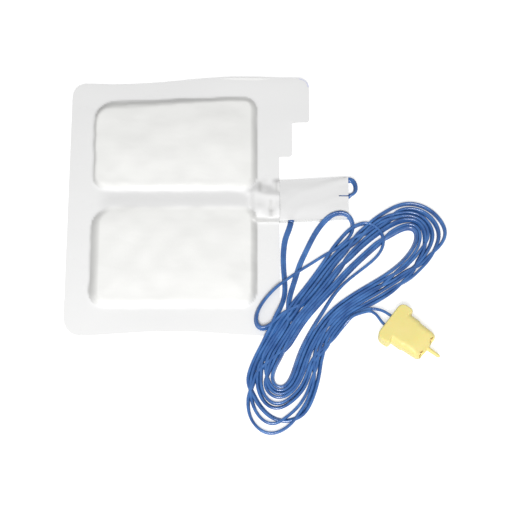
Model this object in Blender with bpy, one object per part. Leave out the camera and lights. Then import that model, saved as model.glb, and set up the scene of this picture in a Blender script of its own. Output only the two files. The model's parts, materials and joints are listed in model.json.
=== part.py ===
"""Electrosurgical return electrode: a split foam pad under its release liner, with lead and plug.

Metres, +Z up. The pad lies flat with its liner on top. The origin is on the underside of the
foam, below the land between the two contact areas. +X runs towards the tab, +Y along the pad.
"""

import math

import bmesh
import bpy
from mathutils import Matrix, Vector
from mathutils.geometry import delaunay_2d_cdt

# Clearance between pieces that touch
GAP = 0.0003

# Outline of the pad, measured from the origin
LEFT_EDGE = -0.0632
RIGHT_EDGE = 0.0648
BOTTOM_EDGE = -0.0817
TOP_EDGE = 0.0824
TOP_RIGHT_EDGE = 0.0866
LOWER_CORNER_RADIUS = 0.0110
UPPER_CORNER_RADIUS = 0.0090
STEP_CORNER_RADIUS = 0.0020
FIRST_STEP_HEIGHT = 0.0330
FIRST_STEP_WIDTH = 0.0080
SECOND_STEP_HEIGHT = 0.0555
SECOND_STEP_WIDTH = 0.0107
LINER_MARGIN = 0.0006

# Gentle waves of the soft sheet, all dying away towards the contact areas
TOP_WAVE = 0.0014
BOTTOM_BOW = 0.0026
TOP_LIFT = 0.0020
TOP_LIFT_PITCH = 0.110
TOP_LIFT_START = 0.020
BOTTOM_LIFT = 0.0016
BOTTOM_LIFT_PITCH = 0.100
SIDE_LIFT = 0.0014
LIFT_WIDTH = 0.0140

# Spacing of the points on the soft sheets
LEAST_RISE = 0.00001
EDGE_SPACING = 0.0040
LIFT_SPACING = 0.0050
HUMP_SPACING = 0.0022
COVER_SPACING = 0.0020
WALL_SPACING = 0.0120
WALL_CLEARANCE = 0.0012

# Tab for the lead: its two long edges, at its root and at its end
TAB_LENGTH = 0.0419
TAB_ROOT_LOW = -0.0100
TAB_ROOT_HIGH = 0.0174
TAB_END_LOW = -0.0080
TAB_END_HIGH = 0.0199
TAB_CORNER_RADIUS = 0.0015
COVER_MARGIN = 0.0006
COVER_BLEND = 0.0060
SLIT_LENGTH = 0.0060
SLIT_WIDTH = 0.0008
SLIT_RADIUS = 0.0002

# Layers
FOAM_THICKNESS = 0.0010
FOIL_THICKNESS = 0.00015
GEL_THICKNESS = 0.0013
LINER_THICKNESS = 0.0003
COVER_THICKNESS = 0.0003

# Contact areas: the raised pans of the liner, with gel and foil inside
PAN_LEFT = -0.0492
PAN_RIGHT = 0.0515
UPPER_PAN_TOP = 0.0707
UPPER_PAN_RISE = 0.0035
LAND_TOP = 0.0107
LAND_BOTTOM = 0.0004
LOWER_PAN_BOTTOM = -0.0640
PAN_CORNER_RADIUS = 0.0095
PAN_LARGE_RADIUS = 0.0140
PAN_WALL = 0.0034
GEL_INSET = PAN_WALL + GAP

# Foil tails and their crimped terminals, under the hump of the liner
TAIL_WIDTH = 0.0040
UPPER_TAIL_Y = 0.0040
LOWER_TAIL_Y = -0.0060
UPPER_TAIL_X = 0.0420
CRIMP_SETBACK = 0.0024
CRIMP_LENGTH = 0.0080
CRIMP_WIDTH = 0.0034
CRIMP_PLATE = 0.00035
BARREL_LENGTH = 0.0050
BARREL_WALL = 0.00035
CORE_RADIUS = 0.0006

# Rises of the liner over what lies below it
CHANNEL_RISE = 0.0008
RISE_BLEND = 0.0040
HUMP_RISE = 0.0028
HUMP_LOW_MARGIN = 0.0030
HUMP_HIGH_MARGIN = 0.0035
HUMP_START = 0.0010
HUMP_BLEND = 0.0045
HUMP_VALLEY = 0.0007
VALLEY_WIDTH = 0.0020

# Flat twin lead
CONDUCTOR_RADIUS = 0.0009
LEAD_WAIST = 0.00055
LEAD_TUBE_RADIUS = 0.00128
LEAD_SPACING = 0.0026
ANCHOR_LOOP_REACH = 0.0044
ANCHOR_LOOP_LOW = 0.0066
ANCHOR_LOOP_HIGH = 0.0172
JACKET_START = 0.0020
LEAD_EXIT = 0.0069
LEAD_OVERHANG = 0.0004
CORE_LEAD_IN = 0.0012
CORE_SPACING = 0.0010

# Plug, in its own frame: +X towards the nose, origin at the middle of its rear face
PLUG_PLACE = (0.1285, -0.0733)
PLUG_TURN = math.radians(-37.2)
PLUG_LENGTH = 0.0285
PLUG_WIDTH = 0.0204
PLUG_THICKNESS = 0.0094
PLUG_EDGE = 0.0034
PLUG_NOSE_RADIUS = 0.0030
PLUG_STEP_START = 0.0155
PLUG_STEP = 0.0007
PLUG_STEP_LENGTH = 0.0012
PLUG_STEP_RADIUS = 0.0008
PLUG_TAPER = 0.0004
WING_LENGTH = 0.0098
WING_OVERHANG = 0.0028
WING_THICKNESS = 0.0106
WING_REAR_RADIUS = 0.0040
WING_LOBE_RADIUS = 0.0020
WING_UNDERCUT = 0.0012
WING_EDGE = 0.0020
SOCKET_SPACING = 0.0104
SOCKET_HOLE_RADIUS = 0.0024
SOCKET_MOUTH_RADIUS = 0.0029
SOCKET_FLARE = 0.0014
SOCKET_DEPTH = 0.0150
SLEEVE_WALL = 0.0004
SLEEVE_LENGTH = 0.0120
SLEEVE_BOTTOM = 0.0010
SLEEVE_SETBACK = 0.0015
PIN_LENGTH = 0.0084
PIN_ROOT_RADIUS = 0.0013
PIN_TIP_RADIUS = 0.0011
PIN_EMBED = 0.0020
INLET_SPACING = 0.0066
INLET_RADIUS = 0.0013
INLET_DEPTH = 0.0012
TOOL_OVERRUN = 0.0010

# Hank of coiled lead
HANK_HEIGHT = 0.0076
HANK_EDGE = 0.0016
HANK_CLEARANCE = 0.0006

# Levels that follow from the layers
FOIL_BOTTOM = FOAM_THICKNESS + GAP
FOIL_TOP = FOIL_BOTTOM + FOIL_THICKNESS
GEL_BOTTOM = FOIL_TOP + GAP
GEL_TOP = GEL_BOTTOM + GEL_THICKNESS
LINER_BOTTOM = FOAM_THICKNESS + GAP
PAN_RISE = GEL_TOP + GAP - LINER_BOTTOM
LEAD_LEVEL = FOAM_THICKNESS + GAP + CONDUCTOR_RADIUS
BARREL_RADIUS = CORE_RADIUS + GAP + BARREL_WALL
CRIMP_LEVEL = FOIL_TOP + GAP
BARREL_LEVEL = CRIMP_LEVEL + BARREL_RADIUS

# Places that follow from the outline
FIRST_STEP_EDGE = RIGHT_EDGE + FIRST_STEP_WIDTH
SECOND_STEP_EDGE = FIRST_STEP_EDGE + SECOND_STEP_WIDTH
TAB_END = RIGHT_EDGE + TAB_LENGTH
CRIMP_END = RIGHT_EDGE - CRIMP_SETBACK
CRIMP_START = CRIMP_END - CRIMP_LENGTH
COVER_ROOT = CRIMP_END + 2 * GAP
JACKET_END = RIGHT_EDGE + JACKET_START
LEAD_EXIT_X = RIGHT_EDGE + LEAD_EXIT

# Finishes: colour, roughness, metallic
FINISHES = {
    "foam": ((0.86, 0.86, 0.85, 1.0), 0.85, 0.0),
    "foil": ((0.80, 0.81, 0.82, 1.0), 0.30, 1.0),
    "gel": ((0.80, 0.84, 0.78, 1.0), 0.25, 0.0),
    "liner": ((0.90, 0.90, 0.88, 1.0), 0.30, 0.0),
    "cover": ((0.84, 0.84, 0.83, 1.0), 0.60, 0.0),
    "tinned_metal": ((0.72, 0.71, 0.68, 1.0), 0.35, 1.0),
    "blue_lead": ((0.04, 0.14, 0.45, 1.0), 0.35, 0.0),
    "yellow_plug": ((0.90, 0.78, 0.28, 1.0), 0.45, 0.0),
    "brass": ((0.78, 0.58, 0.25, 1.0), 0.30, 1.0),
}


def clear_scene():
    for old in list(bpy.data.objects):
        bpy.data.objects.remove(old, do_unlink=True)


def finish(name):
    """Return the material called name, made on first use."""
    if name in bpy.data.materials:
        return bpy.data.materials[name]
    colour, roughness, metallic = FINISHES[name]
    made = bpy.data.materials.new(name)
    made.use_nodes = True
    shader = made.node_tree.nodes["Principled BSDF"]
    shader.inputs["Base Color"].default_value = colour
    shader.inputs["Roughness"].default_value = roughness
    shader.inputs["Metallic"].default_value = metallic
    made.diffuse_color = colour
    return made


def add_mesh(name, bm, material, smooth_angle=40.0):
    """Turn the bmesh into an object with its faces pointing out."""
    bmesh.ops.recalc_face_normals(bm, faces=bm.faces)
    mesh = bpy.data.meshes.new(name)
    bm.to_mesh(mesh)
    bm.free()
    mesh.shade_smooth()
    mesh.set_sharp_from_angle(angle=math.radians(smooth_angle))
    made = bpy.data.objects.new(name, mesh)
    made.data.materials.append(finish(material))
    bpy.context.scene.collection.objects.link(made)
    return made


def combine(base, tool, operation):
    """Boolean of two solids, where the tool stays in the file as a hidden helper."""
    tool.hide_render = True
    tool.display_type = "WIRE"
    change = base.modifiers.new(tool.name, "BOOLEAN")
    change.operation = operation
    change.solver = "EXACT"
    change.object = tool


def smooth(value):
    """Ease from 0 to 1 as value runs from 0 to 1."""
    value = min(max(value, 0.0), 1.0)
    return value * value * (3.0 - 2.0 * value)


def arc_corners(corners, step=math.radians(18)):
    """Closed outline through (x, y, radius) corners, each rounded by an arc."""
    outline = []
    for i, (x, y, radius) in enumerate(corners):
        here = Vector((x, y))
        before = (Vector(corners[i - 1][:2]) - here).normalized()
        after = (Vector(corners[(i + 1) % len(corners)][:2]) - here).normalized()
        half = before.angle(after) / 2
        reach = radius / math.tan(half)
        start = here + before * reach
        centre = here + (before + after).normalized() * (radius / math.sin(half))
        sweep = math.pi - 2 * half
        turn = 1.0 if before.x * after.y - before.y * after.x < 0 else -1.0
        count = max(1, math.ceil(sweep / step - 0.01))
        arm = start - centre
        for k in range(count + 1):
            outline.append(centre + Matrix.Rotation(turn * sweep * k / count, 2) @ arm)
    return outline


def divide(outline, spacing):
    """Split the long sides of a closed outline so that none is longer than spacing."""
    divided = []
    for i, here in enumerate(outline):
        following = outline[(i + 1) % len(outline)]
        count = max(1, math.ceil((following - here).length / spacing))
        divided += [here.lerp(following, k / count) for k in range(count)]
    return divided


def inset_corners(corners, inset):
    """Corners of a rounded outline (anticlockwise) moved in by inset."""
    moved = []
    for i, (x, y, radius) in enumerate(corners):
        here = Vector((x, y))
        arriving = (here - Vector(corners[i - 1][:2])).normalized()
        leaving = (Vector(corners[(i + 1) % len(corners)][:2]) - here).normalized()
        inward = Vector((-arriving.y, arriving.x)) + Vector((-leaving.y, leaving.x))
        inward *= inset / (1.0 + arriving.dot(leaving))
        outward_bend = arriving.x * leaving.y - arriving.y * leaving.x > 0
        shrunk = max(radius - inset, 0.0004) if outward_bend else radius + inset
        moved.append((x + inward.x, y + inward.y, shrunk))
    return moved


def inset_points(outline, inset):
    """Points of a smooth outline (anticlockwise) moved in by inset."""
    moved = []
    for i, here in enumerate(outline):
        arriving = (here - outline[i - 1]).normalized()
        leaving = (outline[(i + 1) % len(outline)] - here).normalized()
        inward = Vector((-arriving.y, arriving.x)) + Vector((-leaving.y, leaving.x))
        moved.append(here + inward * (inset / (1.0 + arriving.dot(leaving))))
    return moved


def distance_to_line(point, line, closed=False):
    """Shortest plan distance from point to a line of points."""
    ends = line[1:] + line[:1] if closed else line[1:]
    best = 1.0
    for a, b in zip(line, ends):
        along = b - a
        share = min(max((point - a).dot(along) / max(along.length_squared, 1e-12), 0.0), 1.0)
        best = min(best, (point - a - along * share).length)
    return best


def inside(point, outline):
    """Whether point lies inside the closed outline."""
    found = False
    for i, a in enumerate(outline):
        b = outline[i - 1]
        if (a.y > point.y) != (b.y > point.y):
            if point.x < a.x + (b.x - a.x) * (point.y - a.y) / (b.y - a.y):
                found = not found
    return found


def spline(points, spacing):
    """Points about spacing apart on a smooth curve through the given points."""
    points = [Vector(p) for p in points]
    ends = [points[0] * 2 - points[1], *points, points[-1] * 2 - points[-2]]
    fine = []
    for p0, p1, p2, p3 in zip(ends, ends[1:], ends[2:], ends[3:]):
        for k in range(16):
            t = k / 16
            fine.append(0.5 * (2 * p1 + (p2 - p0) * t + (2 * p0 - 5 * p1 + 4 * p2 - p3) * t ** 2
                               + (3 * p1 - 3 * p2 + p3 - p0) * t ** 3))
    fine.append(points[-1])
    lengths = [0.0]
    for a, b in zip(fine, fine[1:]):
        lengths.append(lengths[-1] + (b - a).length)
    count = max(2, round(lengths[-1] / spacing))
    even, place = [], 0
    for k in range(count + 1):
        target = lengths[-1] * k / count
        while place < len(fine) - 2 and lengths[place + 1] < target:
            place += 1
        span = max(lengths[place + 1] - lengths[place], 1e-12)
        even.append(fine[place].lerp(fine[place + 1], (target - lengths[place]) / span))
    return even


def plan_wave(point):
    """Move an outline point by the in-plan wave of the pad's top and bottom edges."""
    width = RIGHT_EDGE - LEFT_EDGE
    along = (point.x - LEFT_EDGE) / width
    near_top = smooth((point.y - UPPER_PAN_TOP) / LIFT_WIDTH)
    near_bottom = smooth((LOWER_PAN_BOTTOM - point.y) / LIFT_WIDTH)
    bow = BOTTOM_BOW * math.sin(math.pi * min(max(along, 0.0), 1.0)) ** 2 * near_bottom
    wave = TOP_WAVE * math.sin(2 * math.pi * (along - 0.5)) * near_top
    return Vector((point.x, point.y + bow + wave))


def edge_lift(point):
    """Height of the soft sheet above the table, 0 over the contact areas."""
    top = smooth((point.y - UPPER_PAN_TOP - UPPER_PAN_RISE) / LIFT_WIDTH)
    top *= 0.5 + 0.5 * math.sin(2 * math.pi * (point.x - TOP_LIFT_START) / TOP_LIFT_PITCH)
    bottom = smooth((LOWER_PAN_BOTTOM - point.y) / LIFT_WIDTH)
    bottom *= 0.5 + 0.5 * math.cos(2 * math.pi * point.x / BOTTOM_LIFT_PITCH)
    side = smooth((point.x - RIGHT_EDGE) / LIFT_WIDTH)
    side *= smooth((point.y - FIRST_STEP_HEIGHT) / LIFT_WIDTH)
    return TOP_LIFT * top + BOTTOM_LIFT * bottom + SIDE_LIFT * side


def sheet(name, material, outline, bottom, top, loops=(), points=()):
    """Closed thin solid between the heights bottom(p) and top(p), inside the outline."""
    flat = [*outline]
    edges = []
    for loop in loops:
        first = len(flat)
        flat += loop
        edges += [(first + i, first + (i + 1) % len(loop)) for i in range(len(loop))]
    flat += points
    found = delaunay_2d_cdt(flat, edges, [list(range(len(outline)))], 1, 1e-7)
    plan, triangles = found[0], found[2]
    bm = bmesh.new()
    low = [bm.verts.new((p.x, p.y, bottom(p))) for p in plan]
    high = [bm.verts.new((p.x, p.y, top(p))) for p in plan]
    sides = {}
    for corners in triangles:
        bm.faces.new([high[i] for i in corners])
        bm.faces.new([low[i] for i in reversed(corners)])
        for a, b in zip(corners, [*corners[1:], corners[0]]):
            sides[(a, b)] = (b, a) not in sides
            if (b, a) in sides:
                sides[(b, a)] = False
    for (a, b), open_side in sides.items():
        if open_side:
            bm.faces.new((low[a], low[b], high[b], high[a]))
    unused = [v for v in bm.verts if not v.link_faces]
    bmesh.ops.delete(bm, geom=unused, context="VERTS")
    return add_mesh(name, bm, material)


def grid(spacing, outline, height=None, clear=None):
    """Grid points inside the outline, kept where height(p) is above 0 or begins to rise."""
    around = [Vector((i * spacing, j * spacing)) for i in (-1, 0, 1) for j in (-1, 0, 1)]
    left, right = min(p.x for p in outline), max(p.x for p in outline)
    low, high = min(p.y for p in outline), max(p.y for p in outline)
    found = []
    for i in range(math.ceil(left / spacing), math.floor(right / spacing) + 1):
        for j in range(math.ceil(low / spacing), math.floor(high / spacing) + 1):
            point = Vector((i * spacing, j * spacing))
            if height and max(height(point + step) for step in around) < LEAST_RISE:
                continue
            if not inside(point, outline) or (clear and not clear(point)):
                continue
            if distance_to_line(point, outline, closed=True) > spacing * 0.4:
                found.append(point)
    return found


def slab(name, material, outline, bottom, top):
    """Flat plate with the given outline between two heights."""
    bm = bmesh.new()
    face = bm.faces.new([bm.verts.new((p.x, p.y, bottom)) for p in outline])
    raised = bmesh.ops.extrude_face_region(bm, geom=[face])["geom"]
    moved = [v for v in raised if isinstance(v, bmesh.types.BMVert)]
    bmesh.ops.translate(bm, vec=(0, 0, top - bottom), verts=moved)
    return add_mesh(name, bm, material)


def rounded_slab(name, material, outline_at, bottom, top, edge, steps=3):
    """Plate with rounded edges, where outline_at(inset) gives its outline moved in by inset."""
    levels = []
    for k in range(steps + 1):
        angle = math.pi / 2 * k / steps
        levels.append((bottom + edge * (1 - math.sin(angle)), edge * (1 - math.cos(angle))))
    levels.reverse()
    levels += [(top - (height - bottom), inset) for height, inset in reversed(levels)]
    bm = bmesh.new()
    rings = []
    for height, inset in levels:
        rings.append([bm.verts.new((p.x, p.y, height)) for p in outline_at(inset)])
    for first, second in zip(rings, rings[1:]):
        for k in range(len(first)):
            following = (k + 1) % len(first)
            bm.faces.new((first[k], first[following], second[following], second[k]))
    bm.faces.new(rings[0])
    bm.faces.new(reversed(rings[-1]))
    return add_mesh(name, bm, material)


def turned(name, material, profile, segments):
    """Solid of revolution about the X axis from (x, radius) points, closed on the axis."""
    bm = bmesh.new()
    spine = [bm.verts.new((x, 0, radius)) for x, radius in profile]
    edges = [bm.edges.new(pair) for pair in zip(spine, spine[1:])]
    bmesh.ops.spin(bm, geom=spine + edges, cent=(0, 0, 0), axis=(1, 0, 0),
                   angle=2 * math.pi, steps=segments, use_merge=True)
    bmesh.ops.remove_doubles(bm, verts=bm.verts, dist=1e-6)
    return add_mesh(name, bm, material)


def tube(name, points, radius, spacing=None, material="blue_lead"):
    """Round cord along a smooth curve through the points."""
    curve = bpy.data.curves.new(name, "CURVE")
    curve.dimensions = "3D"
    curve.bevel_depth = radius
    curve.bevel_resolution = 2
    curve.use_fill_caps = True
    path = spline(points, spacing or 5 * radius)
    line = curve.splines.new("POLY")
    line.points.add(len(path) - 1)
    for point, place in zip(line.points, path):
        point.co = (*place, 1.0)
    made = bpy.data.objects.new(name, curve)
    curve.materials.append(finish(material))
    bpy.context.scene.collection.objects.link(made)
    return made


def pad_corners(margin):
    """Corners of the liner's outline, moved in by margin, from the lower left corner on."""
    left, bottom = LEFT_EDGE + margin, BOTTOM_EDGE + margin
    right, first, second = (edge - margin for edge in
                            (RIGHT_EDGE, FIRST_STEP_EDGE, SECOND_STEP_EDGE))
    low, high = FIRST_STEP_HEIGHT + margin, SECOND_STEP_HEIGHT + margin
    return [
        (left, bottom, LOWER_CORNER_RADIUS),
        (right, bottom, UPPER_CORNER_RADIUS - margin),
        (right, low, STEP_CORNER_RADIUS / 2),
        (first, low, STEP_CORNER_RADIUS),
        (first, high, STEP_CORNER_RADIUS / 2),
        (second, high, STEP_CORNER_RADIUS),
        (second, TOP_RIGHT_EDGE - margin, UPPER_CORNER_RADIUS * 0.7),
        (left, TOP_EDGE - margin, UPPER_CORNER_RADIUS),
    ]


def tab_edge(x, root, end):
    """Place at x of an edge of the tab that runs from root to end."""
    return root + (end - root) * (x - RIGHT_EDGE) / TAB_LENGTH


def with_tab(corners, margin):
    """The same corners with the tongue for the lead on the right side."""
    right = RIGHT_EDGE - margin
    tongue = [
        (right, TAB_ROOT_LOW, TAB_CORNER_RADIUS),
        (TAB_END, TAB_END_LOW, TAB_CORNER_RADIUS),
        (TAB_END, TAB_END_HIGH, TAB_CORNER_RADIUS),
        (right, TAB_ROOT_HIGH, TAB_CORNER_RADIUS),
    ]
    return corners[:2] + tongue + corners[2:]


def upper_pan_corners():
    return [
        (PAN_LEFT, LAND_TOP, PAN_CORNER_RADIUS),
        (PAN_RIGHT, LAND_TOP, PAN_CORNER_RADIUS),
        (PAN_RIGHT, UPPER_PAN_TOP + UPPER_PAN_RISE, PAN_CORNER_RADIUS),
        (PAN_LEFT, UPPER_PAN_TOP, PAN_LARGE_RADIUS),
    ]


def lower_pan_corners():
    return [
        (PAN_LEFT, LOWER_PAN_BOTTOM, PAN_CORNER_RADIUS),
        (PAN_RIGHT, LOWER_PAN_BOTTOM, PAN_CORNER_RADIUS),
        (PAN_RIGHT, LAND_BOTTOM, PAN_CORNER_RADIUS),
        (PAN_LEFT, LAND_BOTTOM, PAN_LARGE_RADIUS),
    ]


def plateau(point, left, right, low, high, blend):
    """1 inside the given rectangle, easing to 0 over blend outside it."""
    across = max(left - point.x, point.x - right, 0.0)
    along = max(low - point.y, point.y - high, 0.0)
    return 1.0 - smooth(math.hypot(across, along) / blend)


def anchor_route():
    """Middle line of the twin lead held in the tab, from its exit to the end of its jacket."""
    middle = (ANCHOR_LOOP_LOW + ANCHOR_LOOP_HIGH) / 2
    exit_y = tab_edge(LEAD_EXIT_X, TAB_ROOT_LOW, TAB_END_LOW)
    return [
        (LEAD_EXIT_X, exit_y - LEAD_OVERHANG),
        (LEAD_EXIT_X + 0.0010, exit_y + 0.0040),
        (LEAD_EXIT_X + 0.0075, exit_y + 0.0090),
        (LEAD_EXIT_X + 0.0175, ANCHOR_LOOP_LOW - 0.0050),
        (TAB_END - 0.0080, ANCHOR_LOOP_LOW - 0.0018),
        (TAB_END, ANCHOR_LOOP_LOW + 0.0002),
        (TAB_END + ANCHOR_LOOP_REACH * 0.80, ANCHOR_LOOP_LOW + 0.0023),
        (TAB_END + ANCHOR_LOOP_REACH, middle),
        (TAB_END + ANCHOR_LOOP_REACH * 0.75, ANCHOR_LOOP_HIGH - 0.0015),
        (TAB_END, ANCHOR_LOOP_HIGH),
        (TAB_END - 0.0090, ANCHOR_LOOP_HIGH - 0.0020),
        (LEAD_EXIT_X + 0.0130, ANCHOR_LOOP_HIGH - 0.0065),
        (LEAD_EXIT_X + 0.0040, ANCHOR_LOOP_HIGH - 0.0100),
        (JACKET_END + 0.0015, 0.0010),
        (JACKET_END, -0.0012),
    ]


def liner_rise(point):
    """Rise of the liner over the foil tails, the terminals and the root of the tab."""
    rise = CHANNEL_RISE * plateau(point, UPPER_TAIL_X - TAIL_WIDTH, SECOND_STEP_EDGE,
                                  LOWER_TAIL_Y - TAIL_WIDTH, LAND_TOP + GEL_INSET, RISE_BLEND)
    rise += CHANNEL_RISE * plateau(point, CRIMP_END, SECOND_STEP_EDGE,
                                   TAB_ROOT_LOW, TAB_ROOT_HIGH, RISE_BLEND)
    hump = plateau(point, CRIMP_START + HUMP_START, SECOND_STEP_EDGE,
                   LOWER_TAIL_Y - HUMP_LOW_MARGIN, UPPER_TAIL_Y + HUMP_HIGH_MARGIN, HUMP_BLEND)
    valley = math.exp(-((point.x - COVER_ROOT) / VALLEY_WIDTH) ** 2)
    return rise + hump * (HUMP_RISE - HUMP_VALLEY * valley)


def build_foam():
    """Die-cut foam backing, with the tongue that carries the lead."""
    corners = with_tab(pad_corners(LINER_MARGIN), LINER_MARGIN)
    outline = [plan_wave(p) for p in divide(arc_corners(corners), EDGE_SPACING)]
    points = grid(LIFT_SPACING, outline, edge_lift)
    sheet("backing_foam", "foam", outline, edge_lift,
          lambda p: edge_lift(p) + FOAM_THICKNESS, points=points)


def build_liner():
    """Thermoformed release liner with two raised pans and a hump over the terminals."""
    outline = [plan_wave(p) for p in divide(arc_corners(pad_corners(0.0)), EDGE_SPACING)]
    pans = [upper_pan_corners(), lower_pan_corners()]
    rims = [arc_corners(pan) for pan in pans]
    loops = []
    for pan in pans:
        for share in (0.0, 0.25, 0.5, 0.75, 1.0):
            wall = arc_corners(inset_corners(pan, PAN_WALL * share))
            loops.append(divide(wall, WALL_SPACING))

    def clear_of_walls(p):
        return all(distance_to_line(p, loop, closed=True) > WALL_CLEARANCE for loop in loops)

    points = grid(LIFT_SPACING, outline, edge_lift, lambda p: liner_rise(p) < LEAST_RISE)
    points += grid(HUMP_SPACING, outline, liner_rise, clear_of_walls)

    def bottom(p):
        height = edge_lift(p) + LINER_BOTTOM + liner_rise(p)
        for rim in rims:
            if inside(p, rim):
                height += PAN_RISE * smooth(distance_to_line(p, rim, closed=True) / PAN_WALL)
        return height

    sheet("release_liner", "liner", outline, bottom,
          lambda p: bottom(p) + LINER_THICKNESS, loops=loops, points=points)


def build_contacts():
    """Conductive gel and foil of the two contact areas, with the foils' tails."""
    for name, pan in (("upper", upper_pan_corners()), ("lower", lower_pan_corners())):
        outline = arc_corners(inset_corners(pan, GEL_INSET))
        slab("gel_" + name, "gel", outline, GEL_BOTTOM, GEL_TOP)
        foil = slab("foil_" + name, "foil", outline, FOIL_BOTTOM, FOIL_TOP)
        half = TAIL_WIDTH / 2
        if name == "upper":
            left, right = UPPER_TAIL_X - half, UPPER_TAIL_X + half
            low, high = UPPER_TAIL_Y - half, UPPER_TAIL_Y + half
            tail = [(left, low), (CRIMP_END, low), (CRIMP_END, high), (right, high),
                    (right, LAND_TOP + GEL_INSET + TAIL_WIDTH),
                    (left, LAND_TOP + GEL_INSET + TAIL_WIDTH)]
        else:
            low, high = LOWER_TAIL_Y - half, LOWER_TAIL_Y + half
            start = PAN_RIGHT - PAN_CORNER_RADIUS - GEL_INSET
            tail = [(start, low), (CRIMP_END, low), (CRIMP_END, high), (start, high)]
        strip = slab("tail_tool_" + name, "foil", [Vector(p) for p in tail],
                     FOIL_BOTTOM, FOIL_TOP)
        combine(foil, strip, "UNION")


def build_crimps():
    """Terminal on each foil tail: a plate with a barrel closed round the conductor's core."""
    for name, y in (("upper", UPPER_TAIL_Y), ("lower", LOWER_TAIL_Y)):
        half = CRIMP_WIDTH / 2
        plate = [(CRIMP_START, y - half), (CRIMP_END, y - half), (CRIMP_END, y + half),
                 (CRIMP_START, y + half)]
        terminal = slab("crimp_" + name, "tinned_metal", [Vector(p) for p in plate],
                        CRIMP_LEVEL, CRIMP_LEVEL + CRIMP_PLATE)
        start, bore = CRIMP_END - BARREL_LENGTH, BARREL_RADIUS - BARREL_WALL
        wall = turned("barrel_" + name, "tinned_metal",
                      [(start, BARREL_RADIUS), (CRIMP_END, BARREL_RADIUS), (CRIMP_END, bore),
                       (start, bore), (start, BARREL_RADIUS)], 16)
        wall.location = (0, y, BARREL_LEVEL)
        combine(terminal, wall, "UNION")


def lead_profile():
    """Section of the flat twin lead as (sideways, up) points."""
    section = []
    for k in range(7):
        angle = math.radians(-120 + 40 * k)
        section.append((CONDUCTOR_RADIUS * (1 + math.cos(angle)),
                        CONDUCTOR_RADIUS * math.sin(angle)))
    section.append((0.0, LEAD_WAIST))
    for k in range(7):
        angle = math.radians(60 + 40 * k)
        section.append((CONDUCTOR_RADIUS * (math.cos(angle) - 1),
                        CONDUCTOR_RADIUS * math.sin(angle)))
    section.append((0.0, -LEAD_WAIST))
    return section


def build_anchor():
    """Twin lead held in the tab, with its loop past the tab's end and its two bared cores."""
    path = spline([(x, y, LEAD_LEVEL) for x, y in anchor_route()], LEAD_SPACING)
    section = lead_profile()
    bm = bmesh.new()
    rings = []
    for i, here in enumerate(path):
        ahead = (path[min(i + 1, len(path) - 1)] - path[max(i - 1, 0)]).normalized()
        side = Vector((ahead.y, -ahead.x, 0))
        rings.append([bm.verts.new(here + side * s + Vector((0, 0, u))) for s, u in section])
    for first, second in zip(rings, rings[1:]):
        for k in range(len(section)):
            following = (k + 1) % len(section)
            bm.faces.new((first[k], first[following], second[following], second[k]))
    bm.faces.new(rings[0])
    bm.faces.new(reversed(rings[-1]))
    lead = add_mesh("lead_anchor", bm, "blue_lead")
    last, before = path[-1], path[-3]
    back = (before - last).normalized()
    side = Vector((-back.y, back.x, 0))
    for sign, y in ((1, UPPER_TAIL_Y), (-1, LOWER_TAIL_Y)):
        if (last + side).y < (last - side).y:
            sign = -sign
        start = last + side * CONDUCTOR_RADIUS * sign
        core = [start + back * CORE_LEAD_IN, start,
                (CRIMP_END + CORE_LEAD_IN, y, BARREL_LEVEL),
                (CRIMP_END - CORE_LEAD_IN, y, BARREL_LEVEL),
                (CRIMP_END - BARREL_LENGTH * 0.9, y, BARREL_LEVEL)]
        wire = tube("core_tool_" + str(sign), core, CORE_RADIUS, CORE_SPACING)
        wire = to_mesh_object(wire)
        combine(lead, wire, "UNION")


def to_mesh_object(curve_object):
    """Replace a curve object by the same shape as a mesh object."""
    graph = bpy.context.evaluated_depsgraph_get()
    mesh = bpy.data.meshes.new_from_object(curve_object.evaluated_get(graph))
    bm = bmesh.new()
    bm.from_mesh(mesh)
    bmesh.ops.remove_doubles(bm, verts=bm.verts, dist=1e-7)
    name = curve_object.name
    bpy.data.objects.remove(curve_object, do_unlink=True)
    return add_mesh(name, bm, "blue_lead")


def build_cover():
    """Strip over the tab, draped over the lead, with the slit that the lead leaves by."""
    slit_low = ANCHOR_LOOP_LOW - SLIT_WIDTH / 2
    slit_high = slit_low + SLIT_WIDTH
    slit_root = TAB_END - SLIT_LENGTH
    corners = [
        (COVER_ROOT, tab_edge(COVER_ROOT, TAB_ROOT_LOW, TAB_END_LOW) + COVER_MARGIN, COVER_MARGIN),
        (TAB_END, TAB_END_LOW + COVER_MARGIN, TAB_CORNER_RADIUS),
        (TAB_END, slit_low, SLIT_RADIUS), (slit_root, slit_low, SLIT_RADIUS),
        (slit_root, slit_high, SLIT_RADIUS), (TAB_END, slit_high, SLIT_RADIUS),
        (TAB_END, TAB_END_HIGH - COVER_MARGIN, TAB_CORNER_RADIUS),
        (COVER_ROOT, tab_edge(COVER_ROOT, TAB_ROOT_HIGH, TAB_END_HIGH) - COVER_MARGIN,
         COVER_MARGIN),
    ]
    outline = divide(arc_corners(corners), COVER_SPACING)
    route = [Vector(p) for p in anchor_route()]
    over_lead = 2 * CONDUCTOR_RADIUS + GAP
    over_cores = BARREL_LEVEL + CORE_RADIUS + GAP - FOIL_BOTTOM

    def bottom(p):
        away = distance_to_line(p, route) - 2 * CONDUCTOR_RADIUS - COVER_SPACING / 2
        ridge = over_lead * (1.0 - smooth(away / COVER_BLEND))
        root = over_cores * plateau(p, COVER_ROOT, JACKET_END + CORE_LEAD_IN,
                                    LOWER_TAIL_Y - CORE_LEAD_IN, UPPER_TAIL_Y + CORE_LEAD_IN,
                                    RISE_BLEND)
        return FOIL_BOTTOM + max(ridge, root)

    sheet("tab_cover", "cover", outline, bottom,
          lambda p: bottom(p) + COVER_THICKNESS, points=grid(COVER_SPACING, outline))


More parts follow.
